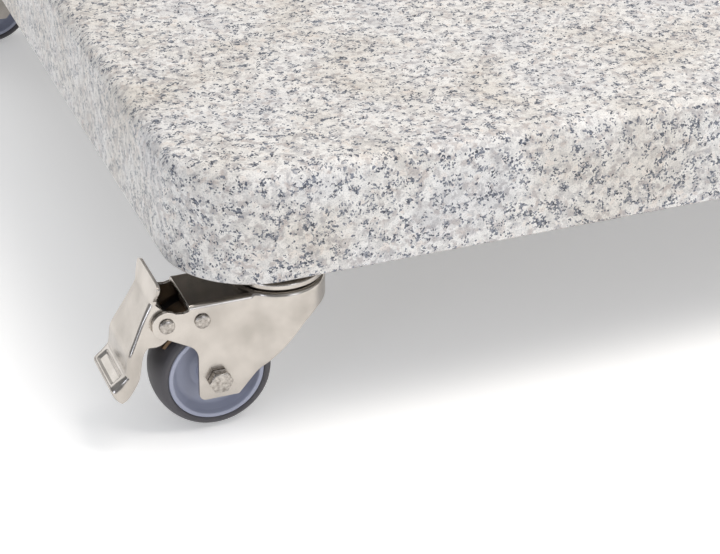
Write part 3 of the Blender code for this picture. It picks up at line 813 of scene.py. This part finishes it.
axle_bolt = solid(
    "axle_bolt",
    joined(
        hexagon(AXLE_FLATS, -LEG_OUTER - FIT, HEAD_TOP, turn=HEAD_TURN),
        threaded_rod(
            AXLE_RADIUS, AXLE_PITCH, -LEG_OUTER - 1.5 * MM, LEG_OUTER - 3 * MM, BOLT_END
        ),
    ),
    bevel=EDGE,
)
at_each_corner("axle_bolt", axle_bolt, tumbled_stainless, "fork", AXLE)

# The nut is a hexagon with a turned collar, which grips the thread.
nut_start, nut_end = LEG_OUTER + FIT, LEG_OUTER + FIT + NUT_HEIGHT
collar_profile = rounded(
    [
        (AXLE_RADIUS + FIT, nut_end - COLLAR - MM), (5.7 * MM, nut_end - COLLAR - MM),
        (5.7 * MM, nut_end), (AXLE_RADIUS + 1.1 * MM, nut_end),
        (AXLE_RADIUS + 1.1 * MM, nut_end - 0.4 * MM), (AXLE_RADIUS + FIT, nut_end - 0.4 * MM),
    ],
    np.array([0, 0, 0.8, 0.2, 0.1, 0]) * MM, 0.15 * MM,
)
axle_nut = solid(
    "axle_nut",
    joined(
        hexagon(AXLE_FLATS, nut_start, nut_end - COLLAR, True, AXLE_RADIUS + FIT, turn=NUT_TURN),
        spun(collar_profile, 72),
    ),
    bevel=EDGE,
)
at_each_corner("axle_nut", axle_nut, tumbled_stainless, "fork", AXLE)

# %% Sleeve, rivets and mounting bolt
sleeve_profile = rounded(
    np.array([(4.3, -17.7), (6, -17.7), (6, 17.7), (4.3, 17.7)]) * MM, 0.3 * MM, closed=True
)
at_each_corner(
    "axle_sleeve", solid("axle_sleeve", spun(sleeve_profile, 64)), tumbled_stainless, "fork", AXLE
)

RIVET_RADIUS = 4.7 * MM
RIVET_HEIGHT = 2.2 * MM
RIVET_RIM = 0.22  # the share of the head's height that stands straight
PIN_RADIUS = 3 * MM
# A snap head is half an ellipse on a short rim: r = R cos t, h = height sin t.
t = np.linspace(math.radians(12), math.radians(90), 14)
dome = np.stack(
    [RIVET_RADIUS * np.cos(t) / math.cos(t[0]),
     LEG_OUTER + FIT + RIVET_HEIGHT * (RIVET_RIM + (1 - RIVET_RIM) * np.sin(t))], 1,
)
dome[-1, 0] = 0
half_pin = np.concatenate(
    [[(PIN_RADIUS, LEG_OUTER + FIT), (RIVET_RADIUS, LEG_OUTER + FIT)], dome]
)
pin = solid("pin", spun(mirrored(half_pin), 64))
at_each_corner("lever_pin", pin, tumbled_stainless, "fork", LEVER_PIN)
at_each_corner("shoe_pin", pin, tumbled_stainless, "fork", SHOE_PIN)

head_low, head_high = (np.array(c) - castor_frame(CORNERS[0])[0]
                       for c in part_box(f"{CORNERS[0]}_mounting_bolt"))
MOUNT_SEAT = -22.6 * MM
MOUNT_FLATS = 16 * MM
MOUNT_RADIUS = 5 * MM
MOUNT_PITCH = 1.5 * MM
MOUNT_TURN = 0.2
mounting_bolt = solid(
    "mounting_bolt",
    joined(
        hexagon(MOUNT_FLATS, MOUNT_SEAT, head_low[2], axis="Z", turn=MOUNT_TURN),
        threaded_rod(
            MOUNT_RADIUS, MOUNT_PITCH, MOUNT_SEAT - 2 * MM, 2 * MM, head_high[2], "Z"
        ),
    ),
    bevel=EDGE,
)
at_each_corner("mounting_bolt", mounting_bolt, tumbled_stainless, "base")

insert_profile = rounded(
    np.array([
        (0, 36.3), (5.3, 36.3), (5.3, 0.3), (9, 0.3), (9, 40.3), (0, 40.3),
    ]) * MM,
    np.array([0, 0.5, 0.3, 0.5, 0.8, 0]) * MM, 0.2 * MM,
)
at_each_corner(
    "threaded_insert", solid("threaded_insert", spun(insert_profile, 64, "Z")), turned_brass,
    "base",
)

# %% [markdown]
# ## The swivel head
#
# Under the slab sits a pressed cup on a hollow kingpin. The cup's rim covers the balls, and
# seen from the side it is only a thin bright ring with a dark line above and below it. It is
# spun from one rounded profile. The cage between cup and fork is a thin ring with eight balls.

# %% Swivel head and ball cage
head_profile = rounded(
    np.array([
        (5.3, -0.3), (15, -0.3), (15, -10.6), (28, -10.6), (28, -15), (26.2, -15),
        (26.2, -12.4), (8, -12.4), (8, -19.4), (11.5, -19.4), (11.5, -22.3), (5.3, -22.3),
    ]) * MM,
    np.array([0.4, 0.8, 1.5, 3.2, 0.7, 0.3, 0.8, 0.3, 0.3, 0.8, 0.6, 0.4]) * MM,
    0.2 * MM, closed=True,
)
swivel_head = solid("swivel_head", spun(head_profile, 160, "Z"))
at_each_corner("swivel_head", swivel_head, pressed_stainless, "base")

BALLS = 8
BALL_RADIUS = 1.75 * MM
BALL_CIRCLE = 20.5 * MM
BALL_LEVEL = -14.45 * MM


def ball(angle):
    """A small sphere from half a circle spun about Z, moved out to the ball circle."""
    t = np.linspace(-math.pi / 2, math.pi / 2, 9)
    half = np.stack([BALL_RADIUS * np.cos(t), BALL_RADIUS * np.sin(t)], 1)
    half[[0, -1], 0] = 0
    points, faces = spun(half, 16, "Z")
    points = points + (BALL_CIRCLE * math.cos(angle), BALL_CIRCLE * math.sin(angle), BALL_LEVEL)
    return points, faces


cage_ring = rounded(
    np.array([(17.5, -0.6), (23.5, -0.6), (23.5, 0.6), (17.5, 0.6)]) * MM + (0, BALL_LEVEL),
    0.4 * MM, 0.2 * MM, closed=True,
)
ball_cage = solid(
    "ball_cage",
    joined(
        spun(cage_ring, 96, "Z"), *[ball(2 * math.pi * i / BALLS) for i in range(BALLS)]
    ),
)
at_each_corner("ball_cage", ball_cage, tumbled_stainless, "cage")

# %% [markdown]
# ## The fork
#
# The fork starts as one flat blank of 2.5 mm stainless sheet. A press draws its front round the
# bearing, folds both sides down into legs, and leaves a flat roof behind the bearing. The round
# front is a little wider than the legs, and a hollow sweep joins the two: that soft vertical
# shadow on the leg is what tells the eye that it is a pressing and not two plates.
#
# Boxes and Booleans would give hard corners here, so the outer face is one surface, followed
# in three bands. First comes the plan line: a straight leg, a hollow arc, and the arc of the
# crown. Then the wall hangs down from the fold to a lower outline, the fold rolls inwards, and
# the top runs in to the kingpin's hole. One side is worked out and the other is its mirror.
# Solidify gives the sheet its thickness, and Bevel breaks the sheared edges.

# %% The fork's plan line
SHEET = 2.5 * MM
CROWN_RADIUS = 28.5 * MM
HOLLOW_RADIUS = 8 * MM
FOLD_RADIUS = 3.5 * MM
ROOF_TOP = -18 * MM
CROWN_TOP = -16.5 * MM
KINGPIN_HOLE = 8.4 * MM
ROOF_EDGE = AXLE[0] - 17 * MM

# The hollow's centre is on the line y = -(leg + hollow), one hollow and one crown from the axis.
hollow_y = -(LEG_OUTER + HOLLOW_RADIUS)
hollow_x = -math.sqrt((CROWN_RADIUS + HOLLOW_RADIUS) ** 2 - hollow_y**2)
touch_angle = math.atan2(hollow_y, hollow_x)
hollow_sweep = touch_angle + math.pi / 2
HOLLOW_LENGTH = HOLLOW_RADIUS * abs(hollow_sweep)
FRONT = hollow_x + HOLLOW_LENGTH + CROWN_RADIUS * abs(touch_angle)


def plan(s):
    """The plan point (x, y) and the inward direction at a distance s along the -Y side. s is x
    on the straight leg. Past hollow_x it runs round the hollow arc, where the turned angle is
    length / radius, and then round the crown to its front at y = 0."""
    s = np.asarray(s, float)
    in_hollow = np.clip((s - hollow_x) / HOLLOW_RADIUS, 0, abs(hollow_sweep))
    on_crown = np.maximum(s - hollow_x - HOLLOW_LENGTH, 0) / CROWN_RADIUS
    turn = math.pi / 2 - in_hollow
    hollow = np.stack([hollow_x + HOLLOW_RADIUS * np.cos(turn),
                       hollow_y + HOLLOW_RADIUS * np.sin(turn)], -1)
    hollow_in = np.stack([np.cos(turn), np.sin(turn)], -1)
    angle = touch_angle + on_crown
    crown_in = -np.stack([np.cos(angle), np.sin(angle)], -1)
    leg = np.stack([s, np.full_like(s, -LEG_OUTER)], -1)
    leg_in = np.stack([0 * s, 0 * s + 1], -1)
    past_leg, past_hollow = (s > hollow_x)[..., None], (on_crown > 0)[..., None]
    point = np.where(past_hollow, -crown_in * CROWN_RADIUS, np.where(past_leg, hollow, leg))
    inward = np.where(past_hollow, crown_in, np.where(past_leg, hollow_in, leg_in))
    return point, inward


print("hollow from x =", round(hollow_x / MM, 1), "mm, length", round(HOLLOW_LENGTH / MM, 1))


# %% The fork's outlines
EAR_RADIUS = 9 * MM
EAR_TIP = 16  # degrees, half of the short flat at the ear's tip
EAR_UNDER = 264  # degrees, where the ear meets the lower edge
EAR_OVER = 48  # degrees, where it meets the upper edge
STEP_RADIUS = 29 * MM
STEP_WIDTH = 2 * MM


def roof_height(x, y):
    """The roof's level, raised to the crown's by a smooth step just inside the fold."""
    lift = smoothstep((STEP_RADIUS - np.hypot(x, y)) / STEP_WIDTH)
    return ROOF_TOP + (CROWN_TOP - ROOF_TOP) * lift


def ear_arc(start, end, count):
    """Points of the round ear about the lever's pin, between two angles in degrees."""
    a = np.radians(np.linspace(start, end, count))
    return LEVER_PIN + EAR_RADIUS * np.stack([np.cos(a), np.sin(a)], 1)


def front_edge(x):
    """The fork's lower edge in front of the axle, from the leg's foot up to the crown's front:
    straight lines through four points, which the press rounds off a little."""
    points = np.array([AXLE / MM + (11.3, -14.1), (7.4, -39.2), (16, -33.6), (29.5, -30)]) * MM
    line = rounded(points, 14 * MM, 0.5 * MM)
    return np.interp(x, line[:, 0], line[:, 1])


def fork_bands():
    """Matching points of the wall's lower outline and of the fold line above it, both as
    (s, z), in order from the ear's tip to the crown's front."""
    fold_z = ROOF_TOP - FOLD_RADIUS
    under = rounded(
        np.array([
            ear_arc(EAR_UNDER, EAR_UNDER, 1)[0], AXLE + (-12 * MM, 23.1 * MM),
            AXLE + (-12.6 * MM, -13.1 * MM), AXLE + (13 * MM, -13.1 * MM),
        ]),
        np.array([0, 11, 4.5, 0]) * MM, 0.4 * MM,
    )
    foot_x = np.linspace(AXLE[0] + 9 * MM, hollow_x, 24)
    foot = np.stack([foot_x, np.maximum(front_edge(foot_x), under[-1, 1])], 1)
    under = under[under[:, 0] < foot_x[0] - 0.3 * MM]
    lower = [
        resampled(ear_arc(180 + EAR_TIP, EAR_UNDER, 40), 22), resampled(under, 90)[1:], foot,
    ]
    above = [
        resampled(ear_arc(180 - EAR_TIP, EAR_OVER, 40), 22),
        resampled(
            rounded(
                np.array([
                    ear_arc(EAR_OVER, EAR_OVER, 1)[0], (ROOF_EDGE - 3.5 * MM, fold_z - 0.9 * MM),
                    (ROOF_EDGE, fold_z), (foot_x[0] - 1.5 * MM, fold_z),
                ]),
                np.array([0, 3, 2, 0]) * MM, 0.3 * MM,
            ), 90,
        )[1:],
        np.stack([foot_x, np.full_like(foot_x, fold_z)], 1),
    ]
    s = np.linspace(hollow_x, FRONT, 84)[1:]
    point, inward = plan(s)
    fold_in = point + inward * FOLD_RADIUS
    crown_fold = roof_height(fold_in[:, 0], fold_in[:, 1]) - FOLD_RADIUS
    lower.append(np.stack([s, front_edge(point[:, 0])], 1))
    above.append(np.stack([s, crown_fold], 1))
    return np.concatenate(lower), np.concatenate(above)


# %% The fork's surface
WALL_ROWS = 14
FOLD_ROWS = 7
TOP_ROWS = 26


def fork_surface():
    """The -Y half. Wall: straight rows from the lower outline up to the fold line. Fold: at a
    roll angle f the point is r (1 - cos f) inwards and r sin f up. Top: straight lines from the
    fold to the middle line, or to the kingpin's hole, at the roof's height."""
    lower, above = fork_bands()
    v = np.linspace(0, 1, WALL_ROWS)[:, None, None]
    band = lower + (above - lower) * v
    point, _ = plan(band[..., 0])
    wall = np.concatenate([point, band[..., 1:]], -1)

    has_roof = above[:, 0] > ROOF_EDGE - 0.05 * MM
    s, z = above[has_roof, 0], above[has_roof, 1]
    point, inward = plan(s)
    f = np.linspace(0, math.pi / 2, FOLD_ROWS)[:, None]
    reach = FOLD_RADIUS * (1 - np.cos(f))[..., None]
    fold_plan = point + inward * reach
    fold = np.concatenate([fold_plan, (z + FOLD_RADIUS * np.sin(f))[..., None]], -1)

    # Along the leg the lines end on y = 0, and from the bearing on they end at the hole.
    edge = fold_plan[-1]
    share = np.clip((s - ROOF_EDGE) / (hollow_x - ROOF_EDGE), 0, 1)
    middle = np.stack([ROOF_EDGE + share * (-KINGPIN_HOLE - ROOF_EDGE), 0 * s], 1)
    turned = np.clip((s - hollow_x) / (FRONT - hollow_x), 0, 1)
    angle = -math.pi + turned * math.pi
    hole = KINGPIN_HOLE * np.stack([np.cos(angle), np.sin(angle)], 1)
    end = np.where((s > hollow_x)[:, None], hole, middle)
    w = np.linspace(0, 1, TOP_ROWS)[:, None, None]
    top_plan = edge + (end - edge) * w
    top = np.concatenate([top_plan, roof_height(top_plan[..., 0], top_plan[..., 1])[..., None]], -1)
    top[0, :, 2] = fold[-1, :, 2]
    return joined(grid(wall), grid(np.concatenate([fold, top[1:]])))


def both_sides(surface):
    """A surface and its mirror in the plane y = 0, whose faces run the other way round."""
    points, faces = surface
    return joined((points, faces), (points * (1, -1, 1), [face[::-1] for face in faces]))


def cross_drill(place, radius, reach=30 * MM):
    """A round cutter along Y through both legs at an (x, z) place."""
    points, faces = spun([(0, -reach), (radius, -reach), (radius, reach), (0, reach)], 40)
    return points + (place[0], 0, place[1]), faces


fork = solid(
    "fork", both_sides(fork_surface()), thickness=SHEET, bevel=0.2 * MM,
    drills=[
        cross_drill(AXLE, AXLE_RADIUS + FIT), cross_drill(LEVER_PIN, PIN_RADIUS + FIT),
        cross_drill(SHOE_PIN, PIN_RADIUS + FIT),
    ],
)
at_each_corner("fork", fork, pressed_stainless, "fork")

# %% [markdown]
# ## The brake lever
#
# The lever is pressed from 2 mm sheet: a foot to step on, a plate that leans over the wheel,
# and a small tab on top that a toe lifts to let go. Its long sides are folded in towards the
# wheel, and there they widen into two eyes round the pin, inside the fork's ears. A rounded
# panel is pressed into the foot to stiffen it.
#
# It is a strip that follows a path. At each station along the path the section starts on one
# flange's free edge, comes up to a fold, crosses the plate and goes down the other side. Where
# there is no flange, its length and the fold's radius shrink to nothing together, so the tab
# needs no special case.

# %% The lever's stations
LEVER_SHEET = 2 * MM
LEVER_HALF = 17.6 * MM
LEVER_FOLD = 3.2 * MM
FOOT_FOLD_EXTRA = 1.6 * MM  # the foot's corners are rounder
ROOMY_START, ROOMY_LENGTH = -26 * MM, 6 * MM  # where they grow rounder
EYE_RADIUS = 8.4 * MM
NO_FLANGE = 0.001 * MM
FOOT_FLARE, FLARE_START, FLARE_LENGTH = 5 * MM, -9 * MM, 17 * MM
TAB_FLARE, TAB_START, TAB_LENGTH = 4.4 * MM, 16 * MM, 10 * MM

# Each row is a point of the plate's face and the flange's free edge beside it, as (x, z) in mm
# from the pin. The tab has no flange, and an eye is given by its angle about the pin.
STATIONS = [
    ((-4.4, 26.9), None), ((-6.3, 20.4), None), ((-7.8, 16.1), (-6.4, 15.3)),
    ((-9.6, 12.6), (-2.0, 9.9)), ((-11.6, 8.8), "eye 78"), ((-15.1, 2.1), "eye 12"),
    ((-18.6, -4.6), "eye -52"), ((-20.7, -8.6), (-1.0, -12.6)), ((-22.4, -11.8), (-5.8, -14.6)),
    ((-23.7, -14.5), (-11.6, -14.6)), ((-24.8, -18.0), (-15.0, -19.4)),
    ((-26.0, -27.2), (-17.6, -31.0)), ((-27.7, -29.8), (-19.6, -35.2)),
    ((-35.0, -35.6), (-26.4, -43.6)), ((-35.7, -38.3), (-29.0, -45.2)),
    ((-34.2, -42.6), (-29.6, -45.9)),
]
STATION_STEP = 0.5 * MM
print("lever:", len(STATIONS), "stations,", 2 * LEVER_HALF / MM, "mm wide")


def smooth_through(points, share):
    """A curve through points: Catmull-Rom pieces, whose tangent at a point is half the line
    between its neighbours. share is how many steps each piece has."""
    before = np.concatenate([[2 * points[0] - points[1]], points[:-1]])
    after = np.concatenate([points[1:], [2 * points[-1] - points[-2]]])
    tangent = (after - before) / 2
    pieces = []
    for i, count in enumerate(share):
        t = np.linspace(0, 1, count, endpoint=False)[:, None]
        a, b, ta, tb = points[i], points[i + 1], tangent[i], tangent[i + 1]
        pieces.append(
            (2 * t**3 - 3 * t**2 + 1) * a + (t**3 - 2 * t**2 + t) * ta
            + (3 * t**2 - 2 * t**3) * b + (t**3 - t**2) * tb
        )
    return np.concatenate(pieces + [points[-1:]])


def lever_half(x, z):
    """Half of the lever's width at an (x, z) point: wider at the foot by a smooth step, and
    wider in a straight line towards the tab's free edge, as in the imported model."""
    foot = smoothstep((FLARE_START - x) / FLARE_LENGTH)
    tab = np.clip((z - TAB_START) / TAB_LENGTH, 0, 1)
    return LEVER_HALF + FOOT_FLARE * foot + TAB_FLARE * tab


def stations():
    """The plate's face and the flange's edge at each fine station, both as (x, z)."""
    face = np.array([a for a, _ in STATIONS]) * MM
    edge = []
    for (x, z), flange in STATIONS:
        if flange is None:
            edge.append((x * MM + NO_FLANGE, z * MM))
        elif isinstance(flange, str):
            a = math.radians(float(flange.split()[1]))
            edge.append((EYE_RADIUS * math.cos(a), EYE_RADIUS * math.sin(a)))
        else:
            edge.append((flange[0] * MM, flange[1] * MM))
    edge = np.array(edge)
    lengths = np.maximum(
        np.linalg.norm(np.diff(face, axis=0), axis=1), np.linalg.norm(np.diff(edge, axis=0), axis=1)
    )
    share = np.maximum(2, (lengths / STATION_STEP).astype(int))
    face_line = smooth_through(face, share)
    edge_line = smooth_through(edge, share)
    # Round the eyes again: near the pin the free edge keeps its distance from it.
    reach = np.linalg.norm(edge_line, axis=1, keepdims=True)
    near_eye = (reach < EYE_RADIUS * 1.15) & (edge_line[:, :1] > -3.5 * MM)
    edge_line = np.where(near_eye, edge_line / reach * EYE_RADIUS, edge_line)
    # The tab is plain up to the second station.
    edge_line[: share[0]] = face_line[: share[0]] + (NO_FLANGE, 0)
    return face_line, edge_line


# %% The lever's surface
PLATE_COLUMNS = 70
FLANGE_COLUMNS = 16
FOLD_COLUMNS = 7
TAB_CORNER = 5.5 * MM
FOOT_TOP = (-27.7, -29.8)
FOOT_END = (-35.0, -35.6)
PANEL_HALF = 16.5 * MM
PANEL_DEPTH = 1.2 * MM
PANEL_SLOPE = 2.4 * MM


def corner_pull(distance, radius):
    """How far a free edge is pulled in near a rounded corner: r - sqrt(r^2 - (r - d)^2) for a
    distance d below r, and nothing past it."""
    d = np.clip(distance, 0, radius)
    return radius - np.sqrt(np.maximum(radius**2 - (radius - d) ** 2, 0))


def lever_side(depth):
    """The lever's sheet at a depth below its outer face, as a grid of points. Along a flange the
    point is face + d (r + v (length - r)), where d points from the face to the flange's edge; in
    the fold it is r (1 - cos f) down and r (1 - sin f) in from the side; across the plate y runs
    evenly between the two folds. Going deeper brings the sides in where there is a flange."""
    face, edge = stations()
    travelled = np.concatenate([[0], np.cumsum(np.linalg.norm(np.diff(face, axis=0), axis=1))])
    along = np.gradient(face, axis=0)
    along /= np.linalg.norm(along, axis=1, keepdims=True)
    inwards = np.stack([-along[:, 1], along[:, 0]], 1)
    down = edge - face
    length = np.linalg.norm(down, axis=1, keepdims=True)
    down = down / length
    folded = smoothstep(length / (2 * LEVER_FOLD))
    face = face + inwards * depth
    length = np.maximum(length - depth * folded, 0.1 * NO_FLANGE)
    roomy = smoothstep((ROOMY_START - face[:, :1]) / ROOMY_LENGTH)
    radius = np.minimum(LEVER_FOLD + FOOT_FOLD_EXTRA * roomy, 0.9 * length)
    radius = np.maximum(radius - depth * folded, 0.1 * radius)

    v = np.linspace(1, 0, FLANGE_COLUMNS)[:, None, None]
    flange = face + down * (radius + v * (length - radius))
    f = np.linspace(math.pi / 2, 0, FOLD_COLUMNS)[1:, None, None]
    fold = face + down * radius * (1 - np.cos(f))
    inset = np.concatenate([0 * v + 0 * radius, radius * (1 - np.sin(f))])[..., 0]
    side = np.concatenate([flange, fold])
    half = lever_half(side[..., 0], side[..., 1]) - depth * folded[:, 0]
    side_y = -(half - inset - corner_pull(travelled, TAB_CORNER))
    plate_y = -side_y[-1] * np.linspace(-1, 1, PLATE_COLUMNS)[1:-1, None]
    plate = np.broadcast_to(face, (len(plate_y), *face.shape)).copy()

    # The pressed panel in the foot is a smooth box sunk along the inward direction.
    foot_start, foot_end = (
        travelled[np.argmin(np.linalg.norm(face - np.array(p) * MM, axis=1))]
        for p in [FOOT_TOP, FOOT_END]
    )
    panel = (
        smoothstep((travelled - foot_start) / PANEL_SLOPE)
        * smoothstep((foot_end - travelled) / PANEL_SLOPE)
        * smoothstep((PANEL_HALF - np.abs(plate_y)) / PANEL_SLOPE)
    )
    plate += inwards * (PANEL_DEPTH * panel)[..., None]

    left = np.stack([side[..., 0], side_y, side[..., 1]], -1)
    middle = np.stack([plate[..., 0], plate_y, plate[..., 1]], -1)
    return np.concatenate([left, middle, (left * (1, -1, 1))[::-1]])


def lever_surface():
    """The outer and inner sides, joined round the flanges' free edges and closed at both ends."""
    outer, inner = lever_side(0.0), lever_side(LEVER_SHEET)
    ends = [grid(np.stack([outer[:, i], inner[:, i]])) for i in (0, -1)]
    return joined(grid(np.concatenate([outer, inner[::-1]]), close_rows=True), *ends)


lever = solid(
    "brake_lever", lever_surface(), bevel=0.1 * MM,
    drills=[cross_drill((0, 0), PIN_RADIUS + 0.4 * MM)],
)
at_each_corner("brake_lever", lever, pressed_stainless, "lever", LEVER_PIN)

# %% [markdown]
# ## Inside the brake
#
# Between the lever's eyes a dark tongue of spring steel reaches over the wheel and presses on
# the shoe, which is a curved plate hung on its own pin. They are seen only through the gap
# behind the fork's roof, but without them the castor would look empty there. Both are outlines
# with rounded corners carried across the width.

# %% Cam tongue and shoe
def bar_across(outline, half_width, edge=0.5 * MM):
    """An (x, z) outline carried along Y, with its ends pulled in a little by an edge radius:
    rings at -h, -h + e, h - e and h, the outer ones shrunk towards the outline's middle."""
    centre = outline.mean(0)
    reach = np.abs(outline - centre).max()
    small = centre + (outline - centre) * (1 - edge / reach)
    rings = [(small, -half_width), (outline, -half_width + edge), (outline, half_width - edge),
             (small, half_width)]
    points = np.stack(
        [np.stack([ring[:, 0], np.full(len(ring), y), ring[:, 1]], 1) for ring, y in rings]
    )
    count = len(outline)
    flat, faces = grid(points, close_columns=True)
    return flat, [tuple(q) for q in faces] + [
        tuple(range(count)), tuple(range(3 * count, 4 * count))[::-1]
    ]


TONGUE = np.array(
    [(-19.2, -8.5), (-4.5, -11), (-0.8, -13.6), (-0.4, -15.8), (-3.5, -15.2), (-20.9, -12.5)]
) * MM
tongue = solid(
    "cam_tongue", bar_across(rounded(TONGUE, np.array([0.6, 3, 1.2, 1, 2, 0.6]) * MM,
                                     0.3 * MM, closed=True), 13 * MM)
)
for corner in CORNERS:
    origin, turn = castor_frame(corner)
    place = origin + (LEVER_PIN[0] * turn, 0, LEVER_PIN[1])
    piece = set_down(f"{corner}_cam_tongue_look", tongue, dark_spring_steel, place, turn)
    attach(piece, f"{corner}_lever")

SHOE_INSIDE = WHEEL_RADIUS + 0.8 * MM
SHOE_OUTSIDE = SHOE_INSIDE + 2.2 * MM
SHOE_SPAN = np.radians([10.5, 53.5])
a = np.linspace(*SHOE_SPAN, 24) + math.pi / 2
wheel_from_pin = AXLE - SHOE_PIN
shoe_outline = np.concatenate(
    [wheel_from_pin + SHOE_INSIDE * np.stack([np.cos(a), np.sin(a)], 1),
     (wheel_from_pin + SHOE_OUTSIDE * np.stack([np.cos(a), np.sin(a)], 1))[::-1]]
)
eye_profile = rounded(
    np.array([(3.4, -13), (4.8, -13), (4.8, 13), (3.4, 13)]) * MM, 0.4 * MM, 0.2 * MM, closed=True
)
shoe = solid(
    "brake_shoe", joined(bar_across(shoe_outline, 13.5 * MM, 0.4 * MM), spun(eye_profile, 48))
)
at_each_corner("brake_shoe", shoe, dark_spring_steel, "shoe", SHOE_PIN)

# %% [markdown]
# ## Floor and light
#
# Steel and honed stone only look right with something soft to reflect. A large key light above
# gives the stone its bright top and darker sides. A small fill on the left draws the bright
# line on the lever's fold, and two soft boxes, low in front and behind on the left, are there
# for the metal: they are what the fork's fold and the lever's foot reflect. The pale world is
# brightest overhead. The floor is plain and nearly white, and shines a little by itself, so
# that the shadow under the base stays light and is the only thing drawn on it.

# %% Floor and light
FLOOR_HALF = 20.0
CASTOR = (-0.3, -0.3, 0.1)  # the castor that the small lights face
BRIGHTEST = (0.5, 0.15, 0.85)  # the direction of the world's brightest part

floor_points = np.array([[-1, -1, 0], [1, -1, 0], [1, 1, 0], [-1, 1, 0]], float) * FLOOR_HALF
matt_white, shader = finish_of(
    "matt_white_floor", Roughness=0.9, Specular_IOR_Level=0.2,
    Emission_Color=linear("#FFFFFF"), Emission_Strength=0.32,
)
place = (node(matt_white, "ShaderNodeTexCoord"), "Object")
mottle = node(matt_white, "ShaderNodeTexNoise", Vector=place, Scale=per_metre(400), Detail=2.0)
link(matt_white, ramp(matt_white, (mottle, "Fac"), (0.3, "#F7F7F7"), (0.7, "#FAFAFA")), shader,
     "Base Color")
floor = set_down("floor", mesh_from("floor", (floor_points, [(0, 1, 2, 3)])), matt_white)


def area_light(name, place, target, size, power, colour="#FFFFFF"):
    """A square soft light at a place, facing a target."""
    data = bpy.data.lights.new(name, "AREA")
    data.size, data.energy, data.color = size, power, linear(colour)[:3]
    lamp = bpy.data.objects.new(name, data)
    lamp.location = place
    lamp.rotation_euler = (Vector(target) - Vector(place)).to_track_quat("-Z", "Y").to_euler()
    bpy.context.scene.collection.objects.link(lamp)


area_light("key", (0.9, -0.6, 2.5), (0, 0, 0.1), 1.6, 48, "#FFFAF4")
area_light("fill", (-2.6, -1.8, 0.6), CASTOR, 0.65, 6.5, "#E6EEFF")
area_light("front_box", (0.45, -2.4, 0.65), CASTOR, 0.7, 4.5, "#EEF3FF")
area_light("back_box", (-1.5, 1.9, 1.1), (-0.4, -0.3, 0.05), 1.4, 7)

world = bpy.data.worlds.new("studio")
world.use_nodes = True
direction = node(world, "ShaderNodeTexCoord")
towards_light = node(
    world, "ShaderNodeVectorMath", {"operation": "DOT_PRODUCT"},
    _0=(direction, "Generated"), _1=BRIGHTEST,
)
room = ramp(
    world, (towards_light, "Value"), (0.0, "#9C9EA2"), (0.35, "#B8BABC"), (0.8, "#FFFFFF")
)
background = world.node_tree.nodes["Background"]
background.inputs["Strength"].default_value = 0.82
link(world, room, background, "Color")
bpy.context.scene.world = world
bpy.context.scene.view_settings.view_transform = "Standard"
print("lights:", [lamp.name for lamp in bpy.data.lights])
